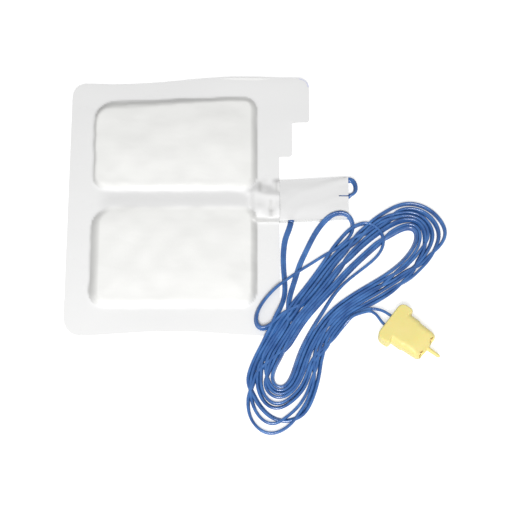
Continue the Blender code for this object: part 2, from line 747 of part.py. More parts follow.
def plug_corners():
    """Plan of the plug's body, which begins inside the grip, with the small step along its sides."""
    start, width = WING_LENGTH / 2, PLUG_WIDTH / 2
    step_end, waist = PLUG_STEP_START + PLUG_STEP_LENGTH, width - PLUG_STEP
    nose = waist - PLUG_TAPER
    return [
        (start, -width, PLUG_STEP_RADIUS), (PLUG_STEP_START, -width, PLUG_STEP_RADIUS),
        (step_end, -waist, PLUG_STEP_RADIUS), (PLUG_LENGTH, -nose, PLUG_NOSE_RADIUS),
        (PLUG_LENGTH, nose, PLUG_NOSE_RADIUS), (step_end, waist, PLUG_STEP_RADIUS),
        (PLUG_STEP_START, width, PLUG_STEP_RADIUS), (start, width, PLUG_STEP_RADIUS),
    ]


def wing_corners():
    """Plan of the finger grip across the plug's rear, with a rounded lobe at each end."""
    width, root = PLUG_WIDTH / 2 + WING_OVERHANG, PLUG_WIDTH / 2 - PLUG_STEP
    return [
        (0.0, -width, WING_REAR_RADIUS), (WING_LENGTH, -width, WING_LOBE_RADIUS),
        (WING_LENGTH - WING_UNDERCUT, -root, PLUG_STEP_RADIUS),
        (WING_LENGTH - WING_UNDERCUT, root, PLUG_STEP_RADIUS),
        (WING_LENGTH, width, WING_LOBE_RADIUS), (0.0, width, WING_REAR_RADIUS),
    ]


def build_plug():
    """Moulded plug: flat body, finger grip, two sockets with sleeves, and a locating pin."""
    place = Matrix.Translation((*PLUG_PLACE, WING_THICKNESS / 2)) @ Matrix.Rotation(
        PLUG_TURN, 4, "Z")
    body = rounded_slab("plug_body", "yellow_plug",
                        lambda inset: arc_corners(inset_corners(plug_corners(), inset)),
                        -PLUG_THICKNESS / 2, PLUG_THICKNESS / 2, PLUG_EDGE, steps=4)
    grip = rounded_slab("grip_tool", "yellow_plug",
                        lambda inset: arc_corners(inset_corners(wing_corners(), inset)),
                        -WING_THICKNESS / 2, WING_THICKNESS / 2, WING_EDGE)
    combine(body, grip, "UNION")
    tip = PLUG_LENGTH + PIN_LENGTH
    pin = turned("pin_tool", "yellow_plug",
                 [(PLUG_LENGTH - PIN_EMBED, 0), (PLUG_LENGTH - PIN_EMBED, PIN_ROOT_RADIUS),
                  (PLUG_LENGTH, PIN_ROOT_RADIUS), (tip - PIN_TIP_RADIUS, PIN_TIP_RADIUS),
                  (tip - PIN_TIP_RADIUS * 0.3, PIN_TIP_RADIUS * 0.7),
                  (tip, PIN_TIP_RADIUS * 0.3), (tip, 0)], 16)
    combine(body, pin, "UNION")
    floor = PLUG_LENGTH - SOCKET_DEPTH
    over_mouth = TOOL_OVERRUN * (SOCKET_MOUTH_RADIUS - SOCKET_HOLE_RADIUS) / SOCKET_FLARE
    tools = [grip, pin]
    for name, side in (("upper", 1), ("lower", -1)):
        bore = turned("bore_tool_" + name, "yellow_plug",
                      [(floor, 0), (floor, SOCKET_HOLE_RADIUS),
                       (PLUG_LENGTH - SOCKET_FLARE, SOCKET_HOLE_RADIUS),
                       (PLUG_LENGTH + TOOL_OVERRUN, SOCKET_MOUTH_RADIUS + over_mouth),
                       (PLUG_LENGTH + TOOL_OVERRUN, 0)], 20)
        bore.location = (0, side * SOCKET_SPACING / 2, 0)
        combine(body, bore, "DIFFERENCE")
        inlet = turned("inlet_tool_" + name, "yellow_plug",
                       [(-TOOL_OVERRUN, 0), (-TOOL_OVERRUN, INLET_RADIUS),
                        (INLET_DEPTH, INLET_RADIUS), (INLET_DEPTH, 0)], 12)
        inlet.location = (0, side * INLET_SPACING / 2, 0)
        combine(body, inlet, "DIFFERENCE")
        outer = SOCKET_HOLE_RADIUS - GAP
        mouth = PLUG_LENGTH - SLEEVE_SETBACK
        back = mouth - SLEEVE_LENGTH
        sleeve = turned("socket_" + name, "brass",
                        [(back, 0), (back, outer), (mouth, outer), (mouth, outer - SLEEVE_WALL),
                         (back + SLEEVE_BOTTOM, outer - SLEEVE_WALL), (back + SLEEVE_BOTTOM, 0)],
                        20)
        sleeve.matrix_world = place @ Matrix.Translation((0, side * SOCKET_SPACING / 2, 0))
        tools += [bore, inlet]
    frame = bpy.data.objects.new("plug_frame", None)
    bpy.context.scene.collection.objects.link(frame)
    frame.matrix_world = place
    for piece in (body, *tools):
        piece.parent = frame


# Stretches of the lead that lie outside the hank, as (x, y, height of the middle)
LEAD_OUT = [
    (0.0717, -0.0105, 0.0022), (0.0704, -0.0150, 0.0016), (0.0685, -0.0204, 0.0013),
    (0.0673, -0.0266, 0.0013), (0.0669, -0.0330, 0.0020), (0.0671, -0.0393, 0.0046),
    (0.0677, -0.0462, 0.0064), (0.0683, -0.0520, 0.0056), (0.0683, -0.0570, 0.0046),
]
SIDE_LOOP = [
    (0.0718, -0.0566, 0.0040), (0.0727, -0.0513, 0.0028), (0.0740, -0.0457, 0.0015),
    (0.0764, -0.0381, 0.0013), (0.0800, -0.0302, 0.0013), (0.0835, -0.0221, 0.0014),
    (0.0880, -0.0138, 0.0024), (0.0926, -0.0079, 0.0036), (0.0970, -0.0046, 0.0040),
    (0.1020, -0.0034, 0.0040), (0.1059, -0.0044, 0.0038), (0.1089, -0.0075, 0.0028),
    (0.1103, -0.0118, 0.0018), (0.1096, -0.0170, 0.0014), (0.1074, -0.0212, 0.0013),
    (0.1033, -0.0250, 0.0014), (0.0980, -0.0283, 0.0018), (0.0913, -0.0320, 0.0030),
    (0.0847, -0.0358, 0.0042), (0.0781, -0.0395, 0.0044), (0.0715, -0.0436, 0.0036),
    (0.0655, -0.0488, 0.0033), (0.0607, -0.0535, 0.0033), (0.0555, -0.0594, 0.0033),
    (0.0516, -0.0657, 0.0034), (0.0499, -0.0717, 0.0040), (0.0508, -0.0762, 0.0046),
    (0.0534, -0.0790, 0.0048), (0.0560, -0.0799, 0.0048),
]
TAIL = [
    (0.1119, -0.0683, 0.0036), (0.1144, -0.0672, 0.0034), (0.1167, -0.0664, 0.0034),
    (0.1189, -0.0663, 0.0036),
]
UPPER_CONDUCTOR = [
    (0.1194, -0.0655, 0.0038), (0.1221, -0.0660, 0.0042), (0.1256, -0.0673, 0.0049),
    (0.1288, -0.0694, 0.0053), (0.13121, -0.07121, 0.0053),
]
LOWER_CONDUCTOR = [
    (0.1193, -0.0675, 0.0038), (0.1213, -0.0691, 0.0042), (0.1231, -0.0717, 0.0049),
    (0.1249, -0.0745, 0.0053), (0.12722, -0.07647, 0.0053),
]

# Outline of the hank, anticlockwise from its lower left end
HANK_OUTLINE = [
    (0.0451, -0.1238), (0.0466, -0.1327), (0.0506, -0.1386), (0.0587, -0.1419),
    (0.0662, -0.1392), (0.0714, -0.1339), (0.0761, -0.1297), (0.0807, -0.1256),
    (0.0843, -0.1178), (0.0868, -0.1088), (0.0886, -0.1009), (0.0911, -0.0930),
    (0.0956, -0.0844), (0.1013, -0.0764), (0.1060, -0.0716), (0.1114, -0.0706),
    (0.1114, -0.0657), (0.1214, -0.0618), (0.1310, -0.0565), (0.1407, -0.0496),
    (0.1503, -0.0408), (0.1603, -0.0287), (0.1655, -0.0165), (0.1660, -0.0127),
    (0.1623, -0.0075), (0.1575, -0.0046), (0.1546, -0.0010), (0.1499, 0.0026),
    (0.1433, 0.0042), (0.1366, 0.0032), (0.1317, 0.0010), (0.1244, -0.0020),
    (0.1176, -0.0062), (0.1128, -0.0120), (0.1118, -0.0185), (0.1088, -0.0230),
    (0.1042, -0.0268), (0.0986, -0.0300), (0.0925, -0.0340), (0.0846, -0.0439),
    (0.0792, -0.0521), (0.0738, -0.0576), (0.0665, -0.0580), (0.0652, -0.0640),
    (0.0600, -0.0715), (0.0567, -0.0813), (0.0542, -0.0875), (0.0500, -0.0948),
    (0.0460, -0.1027), (0.0451, -0.1100),
]
HANK_LOWER_HOLE = [
    (0.1006, -0.0509), (0.0978, -0.0540), (0.0889, -0.0618), (0.0824, -0.0687),
    (0.0780, -0.0750), (0.0736, -0.0823), (0.0692, -0.0895), (0.0653, -0.0966),
    (0.0620, -0.1027), (0.0605, -0.1074), (0.0625, -0.1100), (0.0654, -0.1110),
    (0.0687, -0.1103), (0.0707, -0.1082), (0.0722, -0.1031), (0.0745, -0.0966),
    (0.0787, -0.0850), (0.0822, -0.0787), (0.0862, -0.0727), (0.0893, -0.0692),
    (0.0911, -0.0651), (0.0933, -0.0605), (0.0969, -0.0554),
]
HANK_UPPER_HOLE = [
    (0.0975, -0.0606), (0.0990, -0.0575), (0.1029, -0.0521), (0.1096, -0.0461),
    (0.1162, -0.0411), (0.1223, -0.0360), (0.1273, -0.0306), (0.1297, -0.0236),
    (0.1342, -0.0188), (0.1385, -0.0159), (0.1432, -0.0136), (0.1458, -0.0130),
    (0.1462, -0.0178), (0.1442, -0.0235), (0.1405, -0.0296), (0.1349, -0.0356),
    (0.1292, -0.0408), (0.1225, -0.0445), (0.1159, -0.0477), (0.1093, -0.0519),
    (0.1027, -0.0565),
]


def build_hank():
    """Outer shape of the coiled lead: a plate with two long eyes, over the pad's corner."""
    outline = [Vector(p) for p in HANK_OUTLINE]
    hank = rounded_slab("cord_hank", "blue_lead", lambda inset: inset_points(outline, inset),
                        0.0, HANK_HEIGHT, HANK_EDGE, steps=2)
    for name, hole in (("lower", HANK_LOWER_HOLE), ("upper", HANK_UPPER_HOLE)):
        eye = slab("eye_tool_" + name, "blue_lead", [Vector(p) for p in hole],
                   -TOOL_OVERRUN, HANK_HEIGHT + TOOL_OVERRUN)
        combine(hank, eye, "DIFFERENCE")
    over_liner = LINER_BOTTOM + LINER_THICKNESS + GAP + BOTTOM_LIFT
    right, low = RIGHT_EDGE + HANK_CLEARANCE, BOTTOM_EDGE - HANK_CLEARANCE
    corners = [(LEFT_EDGE, low, GAP), (right, low, UPPER_CORNER_RADIUS), (right, 0.0, GAP),
               (LEFT_EDGE, 0.0, GAP)]
    relief = slab("relief_tool", "blue_lead", arc_corners(corners), -TOOL_OVERRUN, over_liner)
    combine(hank, relief, "DIFFERENCE")


def build_cords():
    """Lead outside the hank, and the two conductors it splits into at the plug."""
    tube("cord_lead_out", LEAD_OUT, LEAD_TUBE_RADIUS)
    tube("cord_side_loop", SIDE_LOOP, LEAD_TUBE_RADIUS)
    tube("cord_tail", TAIL, LEAD_TUBE_RADIUS)
    tube("conductor_upper", UPPER_CONDUCTOR, CONDUCTOR_RADIUS)
    tube("conductor_lower", LOWER_CONDUCTOR, CONDUCTOR_RADIUS)


clear_scene()
build_foam()
build_contacts()
build_liner()
build_crimps()
build_anchor()
build_cover()
build_plug()
build_cords()
build_hank()
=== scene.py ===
import json
import math

import bmesh
import bpy
import numpy as np
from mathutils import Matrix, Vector, noise
from mathutils.bvhtree import BVHTree
from mathutils.kdtree import KDTree

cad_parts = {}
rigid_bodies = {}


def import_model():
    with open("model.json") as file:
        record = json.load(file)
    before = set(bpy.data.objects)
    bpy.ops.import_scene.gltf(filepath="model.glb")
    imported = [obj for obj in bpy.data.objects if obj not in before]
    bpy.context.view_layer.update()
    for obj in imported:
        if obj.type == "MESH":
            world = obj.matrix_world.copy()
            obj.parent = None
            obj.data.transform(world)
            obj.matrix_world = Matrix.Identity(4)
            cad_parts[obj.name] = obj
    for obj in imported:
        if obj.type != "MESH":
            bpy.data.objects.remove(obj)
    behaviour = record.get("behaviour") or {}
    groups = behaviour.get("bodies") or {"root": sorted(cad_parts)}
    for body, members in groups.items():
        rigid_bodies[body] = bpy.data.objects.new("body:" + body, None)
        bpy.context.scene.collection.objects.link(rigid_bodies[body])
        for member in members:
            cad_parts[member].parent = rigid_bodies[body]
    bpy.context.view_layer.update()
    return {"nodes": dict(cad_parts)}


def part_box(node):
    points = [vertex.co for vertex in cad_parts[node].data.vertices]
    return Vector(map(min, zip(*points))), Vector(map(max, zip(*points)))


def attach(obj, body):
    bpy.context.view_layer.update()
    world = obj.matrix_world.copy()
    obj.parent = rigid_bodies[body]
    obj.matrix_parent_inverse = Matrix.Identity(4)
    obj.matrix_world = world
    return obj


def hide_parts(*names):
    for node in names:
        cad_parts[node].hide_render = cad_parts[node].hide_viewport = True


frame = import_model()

nodes = frame["nodes"]
scene = bpy.context.scene

# Camera, where the photograph was taken from: a metre off, looking down along +Y from 20 degrees
# off the vertical. The frame is 307 mm wide at the pad, so the lens is a long one.
VIEW_CENTRE = Vector((0.05063, -0.03097, 0.0))
VIEW_DISTANCE = 1.0
VIEW_TILT = math.radians(20)
VIEW_WIDTH = 0.3072

camera_data = bpy.data.cameras.new("camera")
camera_data.sensor_width = 36.0
camera_data.lens = camera_data.sensor_width * VIEW_DISTANCE / VIEW_WIDTH
camera = bpy.data.objects.new("camera", camera_data)
scene.collection.objects.link(camera)
camera.location = VIEW_CENTRE + VIEW_DISTANCE * Vector((0, -math.sin(VIEW_TILT), math.cos(VIEW_TILT)))
camera.rotation_euler = (VIEW_TILT, 0, 0)
scene.camera = camera
scene.view_settings.view_transform = "Standard"

# Soft studio light: a wide lamp over the foot of the pad, which brightens what faces -Y, and an even
# sky that fills the rest.
KEY_PLACE, KEY_SIZE, KEY_POWER = Vector((0.03, -0.64, 0.84)), 0.45, 10.1
SKY_STRENGTH = 0.395


def add_lamp(name, place, size, power):
    """Square lamp at place, aimed at the middle of the object."""
    data = bpy.data.lights.new(name, "AREA")
    data.size, data.energy = size, power
    lamp = bpy.data.objects.new(name, data)
    scene.collection.objects.link(lamp)
    lamp.location = place
    lamp.rotation_euler = (VIEW_CENTRE - place).to_track_quat("-Z", "Y").to_euler()


add_lamp("key_lamp", KEY_PLACE, KEY_SIZE, KEY_POWER)
world = bpy.data.worlds.new("sky")
world.use_nodes = True
world.node_tree.nodes["Background"].inputs["Color"].default_value = (1, 1, 1, 1)
world.node_tree.nodes["Background"].inputs["Strength"].default_value = SKY_STRENGTH
scene.world = world

# Floor: a plain white table top. It looks white where nothing shades it, also in reflections, and
# keeps the object's shadow.
FLOOR_SIZE = 3.0
FLOOR_LEVEL = -0.0001
FLOOR_GREY = 0.80
FLOOR_GLOW = 0.48

bpy.ops.object.select_all(action="DESELECT")
bpy.ops.mesh.primitive_plane_add(size=FLOOR_SIZE, location=(0, 0, FLOOR_LEVEL))
floor = bpy.context.object
floor.name = "floor"
floor_paint = bpy.data.materials.new("white_table")
floor_paint.use_nodes = True
tree = floor_paint.node_tree
tree.nodes.clear()
matt = tree.nodes.new("ShaderNodeBsdfDiffuse")
matt.inputs["Color"].default_value = (FLOOR_GREY, FLOOR_GREY, FLOOR_GREY, 1)
glow = tree.nodes.new("ShaderNodeEmission")
ray = tree.nodes.new("ShaderNodeLightPath")
seen = tree.nodes.new("ShaderNodeMath")
seen.operation = "MAXIMUM"
seen_too = tree.nodes.new("ShaderNodeMath")
seen_too.operation = "MAXIMUM"
level = tree.nodes.new("ShaderNodeMath")
level.operation = "MULTIPLY"
level.inputs[1].default_value = FLOOR_GLOW
both = tree.nodes.new("ShaderNodeAddShader")
out = tree.nodes.new("ShaderNodeOutputMaterial")
tree.links.new(ray.outputs["Is Camera Ray"], seen.inputs[0])
tree.links.new(ray.outputs["Is Glossy Ray"], seen.inputs[1])
tree.links.new(seen.outputs[0], seen_too.inputs[0])
tree.links.new(ray.outputs["Is Transmission Ray"], seen_too.inputs[1])
tree.links.new(seen_too.outputs[0], level.inputs[0])
tree.links.new(level.outputs[0], glow.inputs["Strength"])
tree.links.new(matt.outputs[0], both.inputs[0])
tree.links.new(glow.outputs[0], both.inputs[1])
tree.links.new(both.outputs[0], out.inputs["Surface"])
floor.data.materials.append(floor_paint)

# Lead: flat twin cord, two insulated conductors moulded side by side in soft blue vinyl. It leaves
# the tab flat, stands on edge in the bends, and lies coiled in nine loose turns. The turns are piled
# in their order and then pushed apart, which leaves some of them pressed into each other.
WIRE_RADIUS = 0.0009
WIRE_WAIST = 0.00055
LEAD_OUT = [
    (0.0717, -0.0105, 0.0022), (0.0704, -0.0150, 0.0016), (0.0685, -0.0204, 0.0013),
    (0.0673, -0.0266, 0.0013), (0.0669, -0.0330, 0.0020), (0.0671, -0.0393, 0.0046),
    (0.0677, -0.0462, 0.0064), (0.0683, -0.0520, 0.0056), (0.0683, -0.0570, 0.0046),
]
FIRST_TURN = [
    (0.0670, -0.0628), (0.0628, -0.0725), (0.0595, -0.0795), (0.0555, -0.0870), (0.0506, -0.0962),
    (0.0466, -0.1046), (0.0458, -0.1110), (0.0474, -0.1173), (0.0518, -0.1234), (0.0567, -0.1295),
    (0.0612, -0.1328), (0.0668, -0.1341), (0.0720, -0.1328), (0.0770, -0.1295), (0.0803, -0.1256),
    (0.0828, -0.1195), (0.0844, -0.1152), (0.0866, -0.1068), (0.0874, -0.1004),
]
SIDE_LOOP = [
    (0.0690, -0.0672), (0.0636, -0.0755), (0.0606, -0.0783), (0.0576, -0.0800), (0.0538, -0.0796),
    (0.0506, -0.0764), (0.0499, -0.0719), (0.0516, -0.0659), (0.0555, -0.0596), (0.0607, -0.0536),
    (0.0655, -0.0490), (0.0715, -0.0438), (0.0781, -0.0396), (0.0847, -0.0360), (0.0913, -0.0322),
    (0.0980, -0.0284), (0.1033, -0.0252), (0.1073, -0.0214), (0.1096, -0.0172), (0.1102, -0.0115),
    (0.1089, -0.0077), (0.1059, -0.0046), (0.1019, -0.0036), (0.0970, -0.0048), (0.0926, -0.0081),
    (0.0880, -0.0139), (0.0835, -0.0223), (0.0800, -0.0304), (0.0763, -0.0382), (0.0737, -0.0465),
    (0.0723, -0.0534), (0.0705, -0.0600),
]
SHORT_TURN = [
    (0.0860, -0.0735), (0.0907, -0.0667), (0.0934, -0.0612), (0.0974, -0.0549), (0.1019, -0.0498),
    (0.1085, -0.0442), (0.1152, -0.0391), (0.1214, -0.0341), (0.1259, -0.0294), (0.1283, -0.0243),
    (0.1284, -0.0191), (0.1267, -0.0148), (0.1233, -0.0115), (0.1189, -0.0101), (0.1144, -0.0101),
    (0.1100, -0.0114), (0.1070, -0.0145), (0.1020, -0.0208), (0.0957, -0.0290), (0.0912, -0.0366),
    (0.0836, -0.0484), (0.0757, -0.0585), (0.0691, -0.0658),
]
TAIL = [
    (0.1119, -0.0683, 0.0036), (0.1144, -0.0672, 0.0034), (0.1167, -0.0664, 0.0034),
    (0.1189, -0.0663, 0.0036),
]
# Gates that the turns pass through, each as the inner and the outer end of a line across the coil:
# down the left side, round the foot, up the right side and round the head
GATES = [
    (0.1372, -0.0169, 0.1304, 0.0002), (0.1298, -0.0227, 0.1200, -0.0053),
    (0.1200, -0.0316, 0.1072, -0.0150), (0.1078, -0.0430, 0.0955, -0.0278),
    (0.0975, -0.0537, 0.0858, -0.0430), (0.0873, -0.0637, 0.0755, -0.0587),
    (0.0783, -0.0743, 0.0654, -0.0724), (0.0712, -0.0859, 0.0577, -0.0859),
    (0.0641, -0.0975, 0.0506, -0.0957), (0.0605, -0.1066, 0.0457, -0.1103),
    (0.0623, -0.1106, 0.0466, -0.1300), (0.0657, -0.1115, 0.0587, -0.1418),
    (0.0698, -0.1097, 0.0743, -0.1312), (0.0722, -0.1036, 0.0843, -0.1175),
    (0.0764, -0.0915, 0.0892, -0.0969), (0.0824, -0.0792, 0.0976, -0.0816),
    (0.0908, -0.0674, 0.1067, -0.0712), (0.1004, -0.0587, 0.1156, -0.0656),
    (0.1100, -0.0518, 0.1300, -0.0575), (0.1233, -0.0443, 0.1434, -0.0474),
    (0.1354, -0.0354, 0.1551, -0.0361), (0.1435, -0.0252, 0.1633, -0.0246),
    (0.1462, -0.0169, 0.1654, -0.0169), (0.1457, -0.0137, 0.1569, -0.0027),
    (0.1433, -0.0143, 0.1426, 0.0038),
]
# Gates where a turn's share is set: left side, foot, right side, head
SHARE_GATES = [-2, 4, 7, 10, 12, 16, 18, 22]
# Each turn: its share of the way out through the gates on the left, foot, right and head, and its
# order there in the pile
TURNS = [
    (0.80, 0.72, 0.80, 0.80, 7, 6, 5, 5),
    (0.35, 0.30, 0.45, 0.21, 4, 3, 3, 2),
    (0.10, 1.00, 0.40, 1.02, 2, 5, 4, 6),
    (0.60, 0.18, 0.15, 0.12, 1, 1, 1, 7),
    (0.20, 0.11, 0.02, 0.02, 3, 0, 0, 4),
    (0.95, 0.81, 0.60, 0.60, 3, 2, 2, 4),
    (0.75, 0.52, 0.90, 0.36, 0, 1, 5, 3),
    (0.45, 0.24, 0.30, 0.46, 5, 4, 1, 1),
    (0.90, 0.44, 0.98, 0.98, 6, 6, 6, 4),
]
DROP = 0.0019       # height of one turn over the last, before they settle
EDGE_TILT = 74.0


def gate_point(gate, share):
    """Point on a gate's line, share of the way from its inner to its outer end."""
    inner_x, inner_y, outer_x, outer_y = GATES[gate % len(GATES)]
    return inner_x + (outer_x - inner_x) * share, inner_y + (outer_y - inner_y) * share


def turn_points(number, first, last):
    """Rows (x, y, order, tilt) of one turn through the gates first to last."""
    turn = TURNS[number]
    before = TURNS[number - 1]
    shares = (before[3], turn[0], turn[0], turn[1], turn[1], turn[2], turn[2], turn[3])
    orders = (before[7], turn[4], turn[4], turn[5], turn[5], turn[6], turn[6], turn[7])
    rows = []
    for gate in range(first, last + 1):
        share = np.interp(gate, SHARE_GATES, shares)
        rows.append((*gate_point(gate, share), np.interp(gate, SHARE_GATES, orders), EDGE_TILT))
    return rows


def listed(points, first_order, last_order, first_tilt=EDGE_TILT, last_tilt=EDGE_TILT):
    """Rows (x, y, order, tilt) of a stretch whose points are listed."""
    steps = np.linspace(0, 1, len(points))
    return [(p[0], p[1], first_order + (last_order - first_order) * t,
             first_tilt + (last_tilt - first_tilt) * t) for p, t in zip(points, steps)]


def smooth_curve(rows, spacing):
    """Rows about spacing apart along a smooth curve through the given rows, by plan distance."""
    rows = np.array(rows, float)
    ends = np.vstack([2 * rows[0] - rows[1], rows, 2 * rows[-1] - rows[-2]])
    t = np.linspace(0, 1, 12, endpoint=False)[:, None]
    spans = []
    for p0, p1, p2, p3 in zip(ends, ends[1:], ends[2:], ends[3:]):
        spans.append(0.5 * (2 * p1 + (p2 - p0) * t + (2 * p0 - 5 * p1 + 4 * p2 - p3) * t ** 2
                            + (3 * p1 - 3 * p2 + p3 - p0) * t ** 3))
    fine = np.vstack([*spans, rows[-1:]])
    run = np.concatenate([[0], np.cumsum(np.linalg.norm(np.diff(fine[:, :2], axis=0), axis=1))])
    even = np.linspace(0, run[-1], max(2, round(run[-1] / spacing)) + 1)
    return np.column_stack([np.interp(even, run, column) for column in fine.T])


route = listed(LEAD_OUT, 7, 7, 3, 40) + listed(FIRST_TURN, 7, 6, 48, EDGE_TILT)
route += turn_points(0, 14, 22)
route += turn_points(1, -2, 22)
route += turn_points(2, -2, 22)
route += turn_points(3, -2, 5)
route += listed(SIDE_LOOP[:16], 2, 5.5, EDGE_TILT, 66)
route += listed(SIDE_LOOP[16:24], 5.5, 3, 66, 50)
route += listed(SIDE_LOOP[24:], 2.5, 1, 36, 50)
route += turn_points(3, 6, 22)
route += turn_points(4, -2, 14)
route += listed(SHORT_TURN[:12], 1, 7.5)
route += listed(SHORT_TURN[12:], 7, 3)
route += turn_points(5, 7, 22)
route += turn_points(6, -2, 22)
route += turn_points(7, -2, 22)
route += turn_points(8, -2, 16)
route += listed(TAIL, 4, 1, 60, 4)

STEP = 0.0022
PLAN_ROUNDS = 9
SWAY, SWAY_LENGTH = 12, 0.031
laid = smooth_curve(route, STEP)
count = len(laid)
loose = np.clip(np.minimum(np.arange(count), np.arange(count)[::-1]) / 6 - 1, 0, 1)[1:-1, None]
for _ in range(PLAN_ROUNDS):
    drift = 0.25 * (laid[:-2, :2] + laid[2:, :2]) - 0.5 * laid[1:-1, :2]
    laid[1:-1, :2] += loose * drift
slow = np.arange(count) * STEP
tilt = np.radians(laid[:, 3] + SWAY * np.sin(slow / SWAY_LENGTH) * np.clip(laid[:, 3] / 70, 0, 1))
edge_height = WIRE_RADIUS * (1 + np.abs(np.sin(tilt)))
target = np.column_stack([laid[:, :2], edge_height])
moved = np.zeros((count, 3))
moved[:, 2] = laid[:, 2] * DROP
held = np.clip(np.minimum(np.arange(count), np.arange(count)[::-1]) / 8, 0, 1)[:, None]
start_level = LEAD_OUT[0][2] - edge_height[0]
end_level = TAIL[-1][2] - edge_height[-1]
end_lift = np.zeros((count, 3))
end_lift[:, 2] = np.where(np.arange(count) < count / 2, start_level, end_level)


def sides_of(line):
    """Unit vectors along a line of points, and level across it to its right."""
    along = np.gradient(line, axis=0)
    along /= np.linalg.norm(along, axis=1)[:, None]
    across = np.cross(along, (0, 0, 1))
    across /= np.linalg.norm(across, axis=1)[:, None]
    return along, across


def wires_of(line):
    """Centres of the twin lead's two conductors."""
    along, across = sides_of(line)
    upright = np.cross(across, along)
    reach = WIRE_RADIUS * (np.cos(tilt)[:, None] * across + np.sin(tilt)[:, None] * upright)
    return np.vstack([line + reach, line - reach])


under = bmesh.new()
for name in ("release_liner", "tab_cover", "backing_foam"):
    under.from_mesh(nodes[name].data)
ground = BVHTree.FromBMesh(under)
under.free()
CLEAR = 2 * WIRE_RADIUS + 0.00004
SEARCH = CLEAR + 0.0012
ROUNDS = 420
CALM_ROUNDS = 60
FALL, CALM_FALL = 0.00007, 0.00001
STIFFNESS, CALM_STIFFNESS = 0.30, 0.12
KEEP_PLAN = 0.996
ABOVE_ALL = 0.03
owner = np.tile(np.arange(count), 2)
for turn in range(ROUNDS):
    line = target + moved
    wires = wires_of(line)
    if turn % 10 == 0:
        near = KDTree(len(wires))
        for k, place in enumerate(wires):
            near.insert(place, k)
        near.balance()
        pairs = [(k, j) for k, place in enumerate(wires)
                 for _, j, _ in near.find_range(place, SEARCH)
                 if j > k and abs(owner[k] - owner[j]) > 5]
        first, second = np.array(pairs).T
        rest = np.zeros(len(wires))
        for k, place in enumerate(wires):
            hit = ground.ray_cast((place[0], place[1], ABOVE_ALL), (0, 0, -1))[0]
            rest[k] = hit.z + 0.0001 if hit else 0.0
    apart = wires[first] - wires[second]
    gap = np.linalg.norm(apart, axis=1)
    close = gap < CLEAR
    push = apart[close] / gap[close, None] * (CLEAR - gap[close, None]) * 0.5
    shift = np.zeros((count, 3))
    hits = np.zeros(count)
    np.add.at(shift, owner[first[close]], push)
    np.add.at(shift, owner[second[close]], -push)
    np.add.at(hits, owner[first[close]], 1)
    np.add.at(hits, owner[second[close]], 1)
    moved += shift / np.maximum(hits, 1)[:, None] * 1.2
    moved[:, 2] -= FALL if turn < ROUNDS - CALM_ROUNDS else CALM_FALL
    ease = STIFFNESS if turn < ROUNDS - CALM_ROUNDS else CALM_STIFFNESS
    moved[1:-1] += ease * (0.5 * (moved[:-2] + moved[2:]) - moved[1:-1])
    moved[:, :2] *= KEEP_PLAN
    wires = wires_of(target + moved)
    sunk = np.maximum(rest + WIRE_RADIUS - wires[:, 2], 0).reshape(2, -1).max(0)
    moved[:, 2] += sunk
    moved = moved * held + end_lift * (1 - held)

line = target + moved
LINE_ROUNDS = 4
for _ in range(LINE_ROUNDS):
    line[1:-1] += loose * 0.5 * (0.5 * (line[:-2] + line[2:]) - line[1:-1])
RING_SPACING = 0.0012
fine = smooth_curve(np.column_stack([line, tilt]), RING_SPACING)
centres, tilt = fine[:, :3], fine[:, 3]

# Section of the lead: two round conductors and the web between them, as (sideways, up) points
TWIN_SECTION = []
for lobe in (1, -1):
    for step in range(9):
        angle = math.radians(-120 + 30 * step) + (0 if lobe == 1 else math.pi)
        TWIN_SECTION.append((WIRE_RADIUS * (lobe + math.cos(angle)), WIRE_RADIUS * math.sin(angle)))
    TWIN_SECTION.append((0.0, WIRE_WAIST * lobe))
LENGTH_UNIT = 0.02


def sweep(name, centres, tilt, section, material):
    """Mesh of a section carried along the centres, with its length in the map along_lead."""
    along, across = sides_of(centres)
    upright = np.cross(across, along)
    run = np.concatenate([[0], np.cumsum(np.linalg.norm(np.diff(centres, axis=0), axis=1))])
    swept = bmesh.new()
    around = swept.loops.layers.uv.new("along_lead")
    rings = []
    for centre, side, up, lean in zip(centres, across, upright, tilt):
        flat = math.cos(lean) * side + math.sin(lean) * up
        thick = math.cos(lean) * up - math.sin(lean) * side
        rings.append([swept.verts.new(centre + flat * s + thick * u) for s, u in section])
    for row, (one, two) in enumerate(zip(rings, rings[1:])):
        for k in range(len(section)):
            following = (k + 1) % len(section)
            face = swept.faces.new((one[k], one[following], two[following], two[k]))
            corners = ((k, row), (k + 1, row), (k + 1, row + 1), (k, row + 1))
            for loop, (u, v) in zip(face.loops, corners):
                loop[around].uv = (u / len(section), run[v] / LENGTH_UNIT)
    swept.faces.new(rings[0])
    swept.faces.new(reversed(rings[-1]))
    bmesh.ops.recalc_face_normals(swept, faces=swept.faces)
    data = bpy.data.meshes.new(name)
    swept.to_mesh(data)
    swept.free()
    data.shade_smooth()
    data.materials.append(material)
    made = bpy.data.objects.new(name, data)
    scene.collection.objects.link(made)
    return made


def plain_finish(name, colour, roughness):
    """Material of one colour and roughness, and its Principled shader."""
    made = bpy.data.materials.new(name)
    made.use_nodes = True
    shader = made.node_tree.nodes["Principled BSDF"]
    shader.inputs["Base Color"].default_value = (*colour, 1)
    shader.inputs["Roughness"].default_value = roughness
    return made, shader


